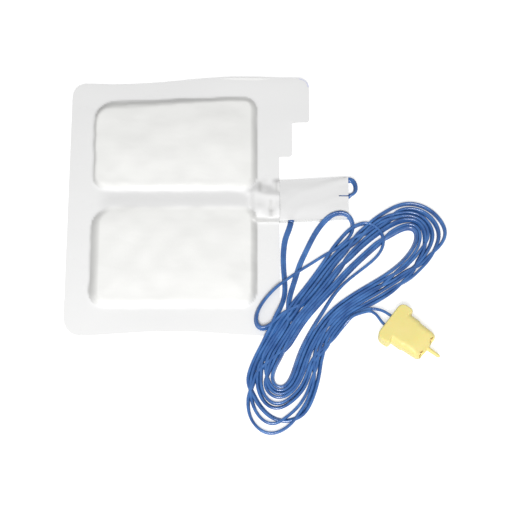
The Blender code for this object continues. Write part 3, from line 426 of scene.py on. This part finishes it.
def pattern(material, kind, scale, source="Object", stretch=None, detail=None):
    """Texture node of one kind on the given coordinates of the material."""
    tree = material.node_tree
    place = tree.nodes.new("ShaderNodeTexCoord")
    output = place.outputs[source]
    if stretch:
        mapping = tree.nodes.new("ShaderNodeMapping")
        mapping.inputs["Scale"].default_value = stretch
        tree.links.new(output, mapping.inputs["Vector"])
        output = mapping.outputs[0]
    made = tree.nodes.new(kind)
    made.inputs["Scale"].default_value = scale
    if detail is not None:
        made.inputs["Detail"].default_value = detail
    tree.links.new(output, made.inputs["Vector"])
    return made


def tinted(material, shader, texture, low, high, start=0.3, end=0.7):
    """Let the texture carry the colour from low to high."""
    tree = material.node_tree
    ramp = tree.nodes.new("ShaderNodeValToRGB")
    ramp.color_ramp.elements[0].position = start
    ramp.color_ramp.elements[0].color = (*low, 1)
    ramp.color_ramp.elements[1].position = end
    ramp.color_ramp.elements[1].color = (*high, 1)
    tree.links.new(texture.outputs[0], ramp.inputs[0])
    tree.links.new(ramp.outputs[0], shader.inputs["Base Color"])


def roughened(material, shader, texture, low, high):
    """Let the texture carry the roughness from low to high."""
    tree = material.node_tree
    spread = tree.nodes.new("ShaderNodeMapRange")
    spread.inputs["To Min"].default_value = low
    spread.inputs["To Max"].default_value = high
    tree.links.new(texture.outputs[0], spread.inputs["Value"])
    tree.links.new(spread.outputs[0], shader.inputs["Roughness"])


def bumped(material, shader, texture, depth):
    """Fine relief of the given depth from the texture."""
    tree = material.node_tree
    relief = tree.nodes.new("ShaderNodeBump")
    relief.inputs["Strength"].default_value = 1.0
    relief.inputs["Distance"].default_value = depth
    tree.links.new(texture.outputs[0], relief.inputs["Height"])
    tree.links.new(relief.outputs[0], shader.inputs["Normal"])


# Soft glossy vinyl: the colour drifts slightly along the lead, and drawing marks run with it
blue_vinyl, shader = plain_finish("blue_vinyl", (0.045, 0.15, 0.44), 0.30)
drift = pattern(blue_vinyl, "ShaderNodeTexNoise", 2.2, "UV", (0.4, 1.0, 1.0), 3.0)
tinted(blue_vinyl, shader, drift, (0.018, 0.078, 0.270), (0.058, 0.180, 0.465))
marks = pattern(blue_vinyl, "ShaderNodeTexNoise", 9.0, "UV", (6.0, 0.25, 1.0), 2.0)
roughened(blue_vinyl, shader, marks, 0.15, 0.30)
shader.inputs["Specular IOR Level"].default_value = 0.95
bumped(blue_vinyl, shader, marks, 0.00003)

lead = sweep("lead", centres, tilt, TWIN_SECTION, blue_vinyl)

# Conductors: the lead is torn in two for its last centimetre, and each insulated wire runs into its
# own inlet at the back of the plug, where it is moulded in.
UPPER_CONDUCTOR = [
    (0.1194, -0.0655, 0.0038), (0.1221, -0.0660, 0.0042), (0.1256, -0.0673, 0.0049),
    (0.1288, -0.0694, 0.0053), (0.13121, -0.07121, 0.0053),
]
LOWER_CONDUCTOR = [
    (0.1193, -0.0675, 0.0038), (0.1213, -0.0691, 0.0042), (0.1231, -0.0717, 0.0049),
    (0.1249, -0.0745, 0.0053), (0.12722, -0.07647, 0.0053),
]
WIRE_STEPS = 24
WIRE_SECTION = [(WIRE_RADIUS * math.cos(angle), WIRE_RADIUS * math.sin(angle))
                for angle in np.linspace(0, 2 * math.pi, 16, endpoint=False)]
split = wires_of(centres)[[len(centres) - 1, 2 * len(centres) - 1]]
split = split[np.argsort(split[:, 1])]
paths = []
for name, points, start in (("upper", UPPER_CONDUCTOR, split[1]), ("lower", LOWER_CONDUCTOR, split[0])):
    path = smooth_curve([tuple(start), *points[1:]], 0.0001)
    paths.append(path[np.linspace(0, len(path) - 1, WIRE_STEPS).astype(int)])
    sweep("conductor_" + name + "_wire", paths[-1], np.zeros(WIRE_STEPS), WIRE_SECTION, blue_vinyl)
bpy.ops.object.select_all(action="DESELECT")
for piece in scene.objects:
    if piece == lead or piece.name.endswith("_wire"):
        piece.select_set(True)
bpy.context.view_layer.objects.active = lead
bpy.ops.object.join()

# The lead's middle line runs on between its conductors, with its tightest bends eased
PATH_ROUNDS = 10
middle = np.vstack([centres, (paths[0] + paths[1])[1:] / 2])
for _ in range(PATH_ROUNDS):
    middle[1:-1] = 0.25 * (middle[:-2] + middle[2:]) + 0.5 * middle[1:-1]
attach(lead, "root")
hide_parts("cord_lead_out", "cord_side_loop", "cord_hank", "cord_tail",
            "conductor_upper", "conductor_lower")

# Lead anchor: the first stretch of the same lead, glued flat between the foam's tongue and the cover.
# It makes one small loop past the tab's end, turned on edge, which takes the pull off the terminals.
ANCHOR_ROUTE = [
    (0.0717, -0.0101), (0.0727, -0.0057), (0.0792, -0.0007), (0.0892, 0.0016), (0.0987, 0.0048),
    (0.1067, 0.0068), (0.1102, 0.0089), (0.1111, 0.0119), (0.1100, 0.0157), (0.1067, 0.0172),
    (0.0977, 0.0152), (0.0847, 0.0107), (0.0757, 0.0072), (0.0683, 0.0010), (0.0668, -0.0012),
]
TAB_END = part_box("tab_cover")[1].x
LOOP_TILT = math.radians(62)
ANCHOR_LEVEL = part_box("lead_anchor")[0].z + WIRE_RADIUS
CORE_RADIUS = 0.0006
CORE_ENDS = [(0.0586, 0.0040, 0.0030), (0.0586, -0.0060, 0.0030)]

anchor_path = smooth_curve([(x, y, ANCHOR_LEVEL) for x, y in ANCHOR_ROUTE], 0.0006)
outside = np.clip((anchor_path[:, 0] - TAB_END + 0.0008) / 0.0028, 0, 1)
anchor_tilt = LOOP_TILT * outside * outside * (3 - 2 * outside)
anchor_path[:, 2] += WIRE_RADIUS * np.sin(anchor_tilt) * 0.6
anchor = sweep("anchored_lead", anchor_path, anchor_tilt, TWIN_SECTION, blue_vinyl)
tinned_wire, shader = plain_finish("tinned_wire", (0.72, 0.70, 0.66), 0.30)
shader.inputs["Metallic"].default_value = 1.0
twist = pattern(tinned_wire, "ShaderNodeTexNoise", 2500.0, detail=1.0)
roughened(tinned_wire, shader, twist, 0.22, 0.42)
core_section = [(CORE_RADIUS * x / WIRE_RADIUS, CORE_RADIUS * y / WIRE_RADIUS) for x, y in WIRE_SECTION]
along, across = sides_of(anchor_path)
for side, (x, y, z) in zip((1, -1), CORE_ENDS):
    bared = anchor_path[-1] + side * WIRE_RADIUS * across[-1] * (1 if across[-1, 1] > 0 else -1)
    bend = (0.0650, (bared[1] + y) / 2, z)
    core_path = smooth_curve([tuple(bared), bend, (0.0625, y, z), (x, y, z)], 0.0005)
    core = sweep("bared_core_" + ("upper" if side == 1 else "lower"), core_path,
                 np.zeros(len(core_path)), core_section, tinned_wire)
    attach(core, "root")
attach(anchor, "root")
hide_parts("lead_anchor")

# Foam backing: soft white closed-cell foam a millimetre thick, die-cut in one piece with the tongue
# that carries the lead. The liner and the cover are stuck to it, and its cut edge shows all round.
FOAM_SPACING = 0.0025
FOAM_THICKNESS = 0.0010


def cut_sheet(name, source, spacing):
    """Flat mesh with the plan of a thin CAD sheet, cut into squares, and the CAD sheet's surface."""
    bpy.ops.object.select_all(action="DESELECT")
    made = bpy.data.objects.new(name, nodes[source].data.copy())
    scene.collection.objects.link(made)
    made.data.materials.clear()
    made.select_set(True)
    bpy.context.view_layer.objects.active = made
    bpy.ops.mesh.customdata_custom_splitnormals_clear()
    bpy.ops.object.mode_set(mode="EDIT")
    bpy.ops.mesh.select_all(action="SELECT")
    bpy.ops.mesh.remove_doubles(threshold=1e-6)
    shape = bmesh.from_edit_mesh(made.data)
    surface = BVHTree.FromBMesh(shape)
    for face in shape.faces:
        face.select_set(face.normal.z < 0.2)
    bpy.ops.mesh.delete(type="FACE")
    bpy.ops.mesh.select_all(action="SELECT")
    bpy.ops.transform.resize(value=(1, 1, 0), center_override=(0, 0, 0))
    bpy.ops.mesh.select_mode(type="FACE")
    bpy.ops.mesh.select_all(action="SELECT")
    bpy.ops.mesh.dissolve_faces(use_verts=False)
    bpy.ops.object.mode_set(mode="OBJECT")
    low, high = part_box(source)
    cut = bmesh.new()
    cut.from_mesh(made.data)
    for axis in (0, 1):
        normal = Vector((1 - axis, axis, 0))
        for step in range(math.ceil(low[axis] / spacing), math.floor(high[axis] / spacing) + 1):
            everything = [*cut.verts, *cut.edges, *cut.faces]
            bmesh.ops.bisect_plane(cut, geom=everything, plane_co=normal * step * spacing, plane_no=normal)
    bmesh.ops.dissolve_degenerate(cut, edges=cut.edges, dist=spacing * 0.08)
    bmesh.ops.delete(cut, geom=[face for face in cut.faces if face.calc_area() < 1e-12], context="FACES")
    bmesh.ops.recalc_face_normals(cut, faces=cut.faces)
    if sum(face.normal.z for face in cut.faces) < 0:
        bmesh.ops.reverse_faces(cut, faces=cut.faces)
    cut.to_mesh(made.data)
    cut.free()
    return made, surface


def plan_of(piece):
    """Places of the piece's points, as an array."""
    places = np.empty(len(piece.data.vertices) * 3)
    piece.data.vertices.foreach_get("co", places)
    return places.reshape(-1, 3)


def heights_over(places, surface):
    """Height of the top of the surface at each place."""
    found = np.empty(len(places))
    for k, (x, y, _) in enumerate(places):
        hit = surface.ray_cast(Vector((x, y, ABOVE_ALL)), Vector((0, 0, -1)))[0]
        found[k] = (hit or surface.find_nearest(Vector((x, y, 0.004)))[0]).z
    return found


def evened(piece, heights, rounds):
    """The heights averaged with their neighbours'."""
    edges = np.empty(len(piece.data.edges) * 2, int)
    piece.data.edges.foreach_get("vertices", edges)
    one, two = edges.reshape(-1, 2).T
    neighbours = np.bincount(edges, minlength=len(heights))
    for _ in range(rounds):
        total = np.bincount(one, heights[two], len(heights)) + np.bincount(two, heights[one], len(heights))
        heights = 0.5 * heights + 0.5 * total / np.maximum(neighbours, 1)
    return heights


def raise_sheet(piece, places, heights, thickness, material):
    """Give the sheet its heights, and its thickness below them."""
    places[:, 2] = heights
    piece.data.vertices.foreach_set("co", places.ravel())
    piece.data.update()
    bpy.ops.object.select_all(action="DESELECT")
    piece.select_set(True)
    bpy.context.view_layer.objects.active = piece
    wall = piece.modifiers.new("wall", "SOLIDIFY")
    wall.thickness = thickness
    wall.offset = -1
    bpy.ops.object.modifier_apply(modifier=wall.name)
    bpy.ops.object.shade_smooth_by_angle(angle=math.radians(50))
    piece.data.materials.append(material)
    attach(piece, "root")


foam_skin, shader = plain_finish("closed_cell_foam", (0.84, 0.84, 0.83), 0.85)
cells = pattern(foam_skin, "ShaderNodeTexVoronoi", 2200.0)
bumped(foam_skin, shader, cells, 0.00006)
tone = pattern(foam_skin, "ShaderNodeTexNoise", 60.0, detail=3.0)
tinted(foam_skin, shader, tone, (0.80, 0.80, 0.79), (0.86, 0.86, 0.85))

foam, foam_top = cut_sheet("foam_backing", "backing_foam", FOAM_SPACING)
places = plan_of(foam)
raise_sheet(foam, places, evened(foam, heights_over(places, foam_top), 2), FOAM_THICKNESS, foam_skin)
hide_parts("backing_foam")

# Release liner: one sheet of milky film, thermoformed with a raised pan over each gel and a puffed
# hump over the terminals, and laid over the whole pad. Handling has left soft dents and creases.
LINER_SPACING = 0.0010
LINER_THICKNESS = 0.0003
FILM_GAP = 0.00012
GEL_INSET = 0.0037
CAD_WALL = 0.0034
PAN_CORNER = 0.0095
PAN_LARGE_CORNER = 0.0140
UPPER_PAN_RISE = 0.0035
PAN_CROWN = 0.00110
# Widths of the pan walls to the left, right, above and below, for the upper and the lower pan, how
# much painted shade greys the film there, and how far each wall bulges
WALL_WIDTHS = {"upper": (0.0022, 0.0042, 0.0068, 0.0040), "lower": (0.0058, 0.0044, 0.0036, 0.0040)}
WALL_PAINTED_SHADE = {"upper": (1.0, 0.85, 0.62, 0.05), "lower": (0.95, 0.95, 0.0, 0.0)}
WALL_BULGE = {"upper": 2.2, "lower": 1.7}


def eased(value):
    """Ease from 0 to 1 as value runs from 0 to 1."""
    value = np.clip(value, 0, 1)
    return value * value * (3 - 2 * value)


def rounded_corners(corners):
    """Closed outline through (x, y, radius) corners, as an array of points."""
    outline = []
    for k, (x, y, radius) in enumerate(corners):
        here = Vector((x, y))
        before = (Vector(corners[k - 1][:2]) - here).normalized()
        after = (Vector(corners[(k + 1) % len(corners)][:2]) - here).normalized()
        half = before.angle(after) / 2
        centre = here + (before + after).normalized() * (radius / math.sin(half))
        start = math.atan2(*(here + before * radius / math.tan(half) - centre).yx)
        for step in np.linspace(0, math.pi - 2 * half, 12):
            outline.append(centre + radius * Vector((math.cos(start + step), math.sin(start + step))))
    return np.array(outline)


def depth_inside(places, outline):
    """Distance of each place inside an outline that bulges all round, and which side is nearest."""
    along = np.roll(outline, -1, axis=0) - outline
    keep = np.linalg.norm(along, axis=1) > 1e-6
    along, starts = along[keep], outline[keep]
    inward = np.column_stack([-along[:, 1], along[:, 0]]) / np.linalg.norm(along, axis=1)[:, None]
    reach = places[:, :2] @ inward.T - (starts * inward).sum(axis=1)
    nearest = reach.argmin(axis=1)
    return reach[np.arange(len(places)), nearest], -inward[nearest]


def mound(places, x, y, reach_x, reach_y):
    """Smooth mound of height 1 at (x, y)."""
    return np.exp(-((places[:, 0] - x) / reach_x) ** 2 - ((places[:, 1] - y) / reach_y) ** 2)


def ripple(places, scale, seed, stretch=(1, 1)):
    """Smooth random waves about -1 to 1, with the given wavelength."""
    return np.array([noise.noise(Vector((x * stretch[0] / scale, y * stretch[1] / scale, seed)))
                     for x, y, _ in places])


liner, liner_top = cut_sheet("formed_liner", "release_liner", LINER_SPACING)
places = plan_of(liner)
height = heights_over(places, liner_top)
over_gel = np.zeros(len(places))
painted_wall_shade = np.zeros(len(places))
panned = np.zeros(len(places))
cad_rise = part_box("gel_upper")[1].z + 0.0003 - (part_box("backing_foam")[0].z + 0.0013)
for pan in ("upper", "lower"):
    gel_low, gel_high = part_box("gel_" + pan)
    left, right = gel_low.x - GEL_INSET, gel_high.x + GEL_INSET
    bottom, top = gel_low.y - GEL_INSET, gel_high.y + GEL_INSET
    drop = UPPER_PAN_RISE if pan == "upper" else 0.0
    rim = rounded_corners([(left, bottom, PAN_CORNER), (right, bottom, PAN_CORNER),
                           (right, top + 0.09 * drop, PAN_CORNER),
                           (left, top - 0.91 * drop, PAN_LARGE_CORNER)])
    depth, facing = depth_inside(places, rim)
    height -= cad_rise * eased(depth / CAD_WALL)
    ways = np.column_stack([np.clip(-facing[:, 0], 0, 1), np.clip(facing[:, 0], 0, 1),
                            np.clip(facing[:, 1], 0, 1), np.clip(-facing[:, 1], 0, 1)]) ** 2
    wavy = depth + 0.00028 * ripple(places, 0.009, 3.0) * (1 + ways[:, 3])
    width = ways @ np.array(WALL_WIDTHS[pan])
    if pan == "upper":
        width -= 0.0030 * ways[:, 2] * eased((places[:, 0] + 0.035) / 0.080)
    share = np.clip(wavy / width, 0, 1)
    soft = ways[:, 2]
    profile = (1 - (1 - share) ** WALL_BULGE[pan]) * (1 - soft) + eased(share) * soft
    panned += cad_rise * profile + PAN_CROWN * eased(depth / 0.022)
    over_gel = np.maximum(over_gel, eased(share * 1.6))
    # Painted shade: the film's colour is greyed on the walls that turn away from the lamp, on top of the
    # real shade from their slope
    painted_grey_here = eased(wavy / 0.0005) * (1 - share) ** 0.5 * (ways @ np.array(WALL_PAINTED_SHADE[pan]))
    painted_wall_shade = np.maximum(painted_wall_shade, painted_grey_here)
    if pan == "lower":
        wall = np.exp(-((places[:, 0] - right + 0.0020) / 0.0022) ** 2)
        wall *= eased((places[:, 1] + 0.058) / 0.010) * eased((-0.012 - places[:, 1]) / 0.010)
        panned += 0.00034 * wall * ripple(places, 0.0036, 7.0, (0.45, 1.0))
        panned += 0.00022 * np.exp(-((depth - 0.0007) / 0.0006) ** 2) * ways[:, 2]
    else:
        panned -= 0.00016 * np.exp(-((wavy + 0.0004) / 0.0005) ** 2) * ways[:, 3]
x, y = places[:, 0], places[:, 1]
flat_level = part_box("backing_foam")[0].z + 0.0016
by_hump = eased((x - 0.028) / 0.002) * eased((0.024 - y) / 0.004) * eased((y + 0.022) / 0.004)
height = height * (1 - by_hump) + flat_level * by_hump
height = evened(liner, height, 260)
# The strip between the pans rises to the lower pan's brim
climb = np.clip((0.0106 - y) / 0.0112, 0, 1)
ramp = cad_rise * (0.6 * climb + 0.4 * eased(climb)) * eased((x + 0.0470) / 0.0110)
ramp *= eased((0.0500 - x) / 0.0060)
ramp *= eased((y + 0.0150) / 0.0140)
height += np.maximum(panned, ramp)
height += 0.00105 * over_gel * ripple(places, 0.034, 1.0, (1.0, 1.2))
height += 0.00058 * over_gel * ripple(places, 0.014, 4.0, (1.4, 1.0))
height += 0.00006 * over_gel * ripple(places, 0.005, 6.0, (0.6, 1.6))
height += 0.00014 * (1 - over_gel) * ripple(places, 0.022, 9.0)
height -= 0.0007 * mound(places, 0.0460, -0.0500, 0.0060, 0.0110)
height += 0.0003 * mound(places, 0.0100, -0.0520, 0.0220, 0.0120)
for pan in ("upper", "lower"):
    gel_low, gel_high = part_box("gel_" + pan)
    over_sheet = (x > gel_low.x) * (x < gel_high.x) * (y > gel_low.y) * (y < gel_high.y)
    over_sheet = over_sheet * (over_gel > 0.9)
    height = np.maximum(height, over_sheet * (gel_high.z + LINER_THICKNESS + FILM_GAP))

# Hump at the root of the tab: behind a crease it falls to +Y, and in front of it the film puffs up
# into two lobes over the terminals
crease_y = np.interp(x, [0.0400, 0.0488, 0.0566, 0.0648], [0.0117, 0.0088, 0.0066, 0.0060])
above_crease = np.clip((crease_y + 0.0084 - y) / 0.0084, 0, 1)
above_crease = 0.6 * above_crease + 0.4 * eased(above_crease)
below_lobes = eased((y + 0.0098) / 0.0015)
left_flank = eased((x - 0.0458) / 0.0046)
top = 0.0047 + 0.0005 * eased((y + 0.0080) / 0.0140)
top += 0.0014 * mound(places, 0.0530, -0.0034, 0.0036, 0.0042)
top += 0.0011 * mound(places, 0.0640, -0.0032, 0.0024, 0.0042)
top -= 0.0016 * mound(places, 0.0599, -0.0030, 0.0013, 0.0045)
over_terminals = (np.abs(x - 0.0584) < 0.0046) * (np.abs(np.abs(y + 0.0010) - 0.0050) < 0.0024)
top = np.maximum(top, 0.0047 * over_terminals)
hump = flat_level + (top - flat_level) * above_crease * below_lobes * left_flank
fold = 0.0009 * eased((x - 0.0390) / 0.0080) * np.exp(-((y - crease_y) / 0.0016) ** 2)
over_tab = 0.0022 * eased((x - 0.0598) / 0.0034)
over_tab *= eased((y - 0.0050) / 0.0020) * eased((0.0185 - y) / 0.0030)
height = np.maximum(height + over_tab, hump) + fold * (1 - left_flank * 0.7)
beside = eased((y - 0.0088) / 0.0020) * eased((0.0190 - y) / 0.0030)
height += beside * (0.0006 * np.exp(-((x - 0.0511) / 0.0013) ** 2)
                    + 0.0006 * np.exp(-((x - 0.0553) / 0.0016) ** 2))
below_hump = eased((-0.0095 - y) / 0.001) * eased((y + 0.030) / 0.012)
height += 0.00018 * np.exp(-((x - 0.0523) / 0.0005) ** 2) * below_hump
height = evened(liner, height, 2)
# Painted shade: the film's colour is darkened on the lobes' front, along the folds and in the valley
# between the lobes
lobe_front_shade = 0.75 * eased((-0.0074 - y) / 0.0010) * eased((y + 0.0106) / 0.0006) * left_flank
past_crease = eased((y - 0.0080) / 0.0020) * eased((0.0175 - y) / 0.0020)
painted_fold_shade = 0.50 * past_crease * (np.exp(-((x - 0.0530) / 0.0012) ** 2)
                              + np.exp(-((x - 0.0632) / 0.0010) ** 2))
between_lobes = eased((0.0050 - y) / 0.0030) * eased((y + 0.0085) / 0.0015)
painted_fold_shade += 0.50 * np.exp(-((x - 0.0596) / 0.0011) ** 2) * between_lobes
painted_wall_shade = np.maximum(painted_wall_shade, np.maximum(lobe_front_shade, painted_fold_shade))

milky_film, shader = plain_finish("milky_film", (0.82, 0.82, 0.81), 0.38)
raise_sheet(liner, places, height, LINER_THICKNESS, milky_film)
pale = liner.data.attributes.new("over_gel", "FLOAT", "POINT")
painted_shade_layer = liner.data.attributes.new("painted_wall_shade", "FLOAT", "POINT")
tint = liner.data.attributes.new("corner_tint", "FLOAT", "POINT")
final = plan_of(liner)
pale.data.foreach_set("value", np.tile(over_gel, 2)[:len(final)])
painted_shade_layer.data.foreach_set("value", np.tile(painted_wall_shade, 2)[:len(final)])
by_corner = final[final[:, 0] > final[:, 0].max() - 0.010]
corner_x, corner_y = final[:, 0].max() - 0.0060, by_corner[:, 1].max() - 0.0060
arc = np.hypot(final[:, 0] - corner_x, final[:, 1] - corner_y)
corner = eased((arc - 0.0046) / 0.0012) * (final[:, 0] > corner_x) * (final[:, 1] > corner_y)
tint.data.foreach_set("value", corner)
tree = milky_film.node_tree
gel_share = tree.nodes.new("ShaderNodeAttribute")
gel_share.attribute_name = "over_gel"
film_tone = tree.nodes.new("ShaderNodeMix")
film_tone.data_type = "RGBA"
film_tone.inputs["A"].default_value = (0.810, 0.810, 0.808, 1)
film_tone.inputs["B"].default_value = (0.832, 0.832, 0.815, 1)
tree.links.new(gel_share.outputs["Fac"], film_tone.inputs["Factor"])
corner_share = tree.nodes.new("ShaderNodeAttribute")
corner_share.attribute_name = "corner_tint"
corner_tone = tree.nodes.new("ShaderNodeMix")
corner_tone.data_type = "RGBA"
corner_tone.inputs["B"].default_value = (0.58, 0.60, 0.80, 1)
tree.links.new(corner_share.outputs["Fac"], corner_tone.inputs["Factor"])
# Painted shade: the film's colour runs to grey on the pan walls, the folds and the lobes' front
painted_shade_share = tree.nodes.new("ShaderNodeAttribute")
painted_shade_share.attribute_name = "painted_wall_shade"
painted_shade_tone = tree.nodes.new("ShaderNodeMix")
painted_shade_tone.data_type = "RGBA"
painted_shade_tone.inputs["B"].default_value = (0.47, 0.47, 0.46, 1)
tree.links.new(painted_shade_share.outputs["Fac"], painted_shade_tone.inputs["Factor"])
tree.links.new(film_tone.outputs["Result"], painted_shade_tone.inputs["A"])
tree.links.new(painted_shade_tone.outputs["Result"], corner_tone.inputs["A"])
tree.links.new(corner_tone.outputs["Result"], shader.inputs["Base Color"])
haze = pattern(milky_film, "ShaderNodeTexNoise", 240.0, detail=4.0)
roughened(milky_film, shader, haze, 0.30, 0.48)
bumped(milky_film, shader, haze, 0.00004)
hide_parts("release_liner")

# Tab cover: a matt white strip stuck over the tongue and the lead, which shows through as faint
# ridges. The lead's loop leaves by the slit cut in its end.
COVER_SPACING = 0.0010
COVER_THICKNESS = 0.0003
cover_film, shader = plain_finish("matt_strip", (0.75, 0.75, 0.75), 0.55)
cover = cut_sheet("lead_cover", "tab_cover", COVER_SPACING)[0]
places = plan_of(cover)
x, y = places[:, 0], places[:, 1]
top_edge = np.interp(x, [0.0630, 0.1067], [0.0168, 0.0192])
foot_edge = np.interp(x, [0.0630, 0.1067], [-0.0094, -0.0074])
inside = eased(np.minimum(top_edge - y, y - foot_edge) / 0.0070)
cover_height = 0.0028 + 0.00065 * inside
at_root = eased((0.0760 - x) / 0.0110) * eased((0.0120 - y) / 0.0060) * eased((y + 0.0100) / 0.0030)
cover_height += 0.00062 * at_root
lead_line = anchor_path[:, :2]
away = np.array([np.hypot(*(lead_line - place[:2]).T).min() for place in places])
cover_height += 0.00014 * np.exp(-(away / (1.6 * WIRE_RADIUS)) ** 2)
cover_height += 0.00016 * ripple(places, 0.014, 2.0)
over_lead = ANCHOR_LEVEL + WIRE_RADIUS + 0.00042
cover_height = np.where(away < 2.2 * WIRE_RADIUS, np.maximum(cover_height, over_lead), cover_height)
cover_height = evened(cover, cover_height, 3)
raise_sheet(cover, places, cover_height, COVER_THICKNESS, cover_film)
grain = pattern(cover_film, "ShaderNodeTexNoise", 500.0, detail=4.0)
roughened(cover_film, shader, grain, 0.48, 0.66)
bumped(cover_film, shader, grain, 0.00003)
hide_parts("tab_cover")

# Gel, foil and terminals: sealed under the liner. The gel is a clear tacky sheet on a bright foil, and
# a tinned terminal clips each foil's tail to the core of a conductor.
wet_gel, shader = plain_finish("wet_gel", (0.80, 0.84, 0.78), 0.16)
shader.inputs["Transmission Weight"].default_value = 0.35
shader.inputs["IOR"].default_value = 1.38
gel_cloud = pattern(wet_gel, "ShaderNodeTexNoise", 90.0, detail=3.0)
tinted(wet_gel, shader, gel_cloud, (0.76, 0.81, 0.74), (0.84, 0.87, 0.82))
bright_foil, shader = plain_finish("bright_foil", (0.80, 0.81, 0.82), 0.28)
shader.inputs["Metallic"].default_value = 1.0
rolled = pattern(bright_foil, "ShaderNodeTexNoise", 120.0, stretch=(1, 14, 1), detail=3.0)
roughened(bright_foil, shader, rolled, 0.20, 0.38)
tinned_strip, shader = plain_finish("tinned_strip", (0.72, 0.71, 0.68), 0.32)
shader.inputs["Metallic"].default_value = 1.0
dulled = pattern(tinned_strip, "ShaderNodeTexNoise", 700.0, detail=4.0)
roughened(tinned_strip, shader, dulled, 0.25, 0.50)
for part, paint in (("gel", wet_gel), ("foil", bright_foil), ("crimp", tinned_strip)):
    for place in ("upper", "lower"):
        solid = nodes[part + "_" + place]
        solid.data.materials.clear()
        solid.data.materials.append(paint)

# Plug: moulded in one shot of pale yellow plastic over both conductors, with a finger grip across its
# back, two sockets with rounded mouths and a pin between them. Its edges are soft all over.
PLUG_VOXEL = 0.00022
NOSE_PLACE = np.array([0.152289, -0.089097, 0.0053])
NOSE_WAY = np.array([0.796530, -0.604599, 0.0])
NOSE_LEAN = 0.0030
POLISH_ROUNDS = 12
plug = bpy.data.objects.new("moulded_plug", nodes["plug_body"].data.copy())
scene.collection.objects.link(plug)
plug.data.materials.clear()
bpy.ops.object.select_all(action="DESELECT")
plug.select_set(True)
bpy.context.view_layer.objects.active = plug
bpy.ops.object.mode_set(mode="EDIT")
bpy.ops.mesh.select_all(action="SELECT")
bpy.ops.mesh.remove_doubles(threshold=1e-6)
bpy.ops.object.mode_set(mode="OBJECT")
skin = plug.modifiers.new("skin", "REMESH")
skin.mode = "VOXEL"
skin.voxel_size = PLUG_VOXEL
bpy.ops.object.modifier_apply(modifier=skin.name)
places = plan_of(plug)
back = (places - NOSE_PLACE) @ NOSE_WAY
rise = places[:, 2] - NOSE_PLACE[2]
# The back of the body is as thick as the grip, so the top runs on without a step
body_half, grip_half = rise[(back > -0.012) & (back < -0.006)].max(), rise.max()
thicker = (grip_half / body_half - 1) * eased((-0.0015 - back) / 0.0100)
places[:, 2] = NOSE_PLACE[2] + np.clip(rise * (1 + thicker), -grip_half, grip_half)
# The end face leans back above the pin, so the sockets are seen from above
lean = eased((rise - 0.0002) / 0.0052) * eased((back + 0.0085) / 0.0065)
lean *= back < 0.0004
places -= (NOSE_LEAN * lean)[:, None] * NOSE_WAY
plug.data.vertices.foreach_set("co", places.ravel())
plug.data.update()
polish = plug.modifiers.new("polish", "SMOOTH")
polish.factor = 0.5
polish.iterations = POLISH_ROUNDS
bpy.ops.object.modifier_apply(modifier=polish.name)
bpy.ops.object.shade_smooth()
yellow_plastic, shader = plain_finish("yellow_plastic", (0.90, 0.78, 0.28), 0.42)
shader.inputs["Subsurface Weight"].default_value = 0.10
shader.inputs["Subsurface Scale"].default_value = 0.002
flow = pattern(yellow_plastic, "ShaderNodeTexNoise", 85.0, detail=2.0)
tinted(yellow_plastic, shader, flow, (0.75, 0.665, 0.225), (0.79, 0.665, 0.265))
satin = pattern(yellow_plastic, "ShaderNodeTexNoise", 1800.0, detail=3.0)
roughened(yellow_plastic, shader, satin, 0.36, 0.50)
bumped(yellow_plastic, shader, satin, 0.00002)
plug.data.materials.append(yellow_plastic)
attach(plug, "root")
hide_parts("plug_body")

# Contact sleeves: turned brass, pressed into the sockets, drawn bright inside.
turned_brass, shader = plain_finish("turned_brass", (0.78, 0.58, 0.25), 0.28)
shader.inputs["Metallic"].default_value = 1.0
tool_marks = pattern(turned_brass, "ShaderNodeTexNoise", 1500.0, detail=2.0)
roughened(turned_brass, shader, tool_marks, 0.22, 0.40)
for name in ("socket_upper", "socket_lower"):
    nodes[name].data.materials.clear()
    nodes[name].data.materials.append(turned_brass)
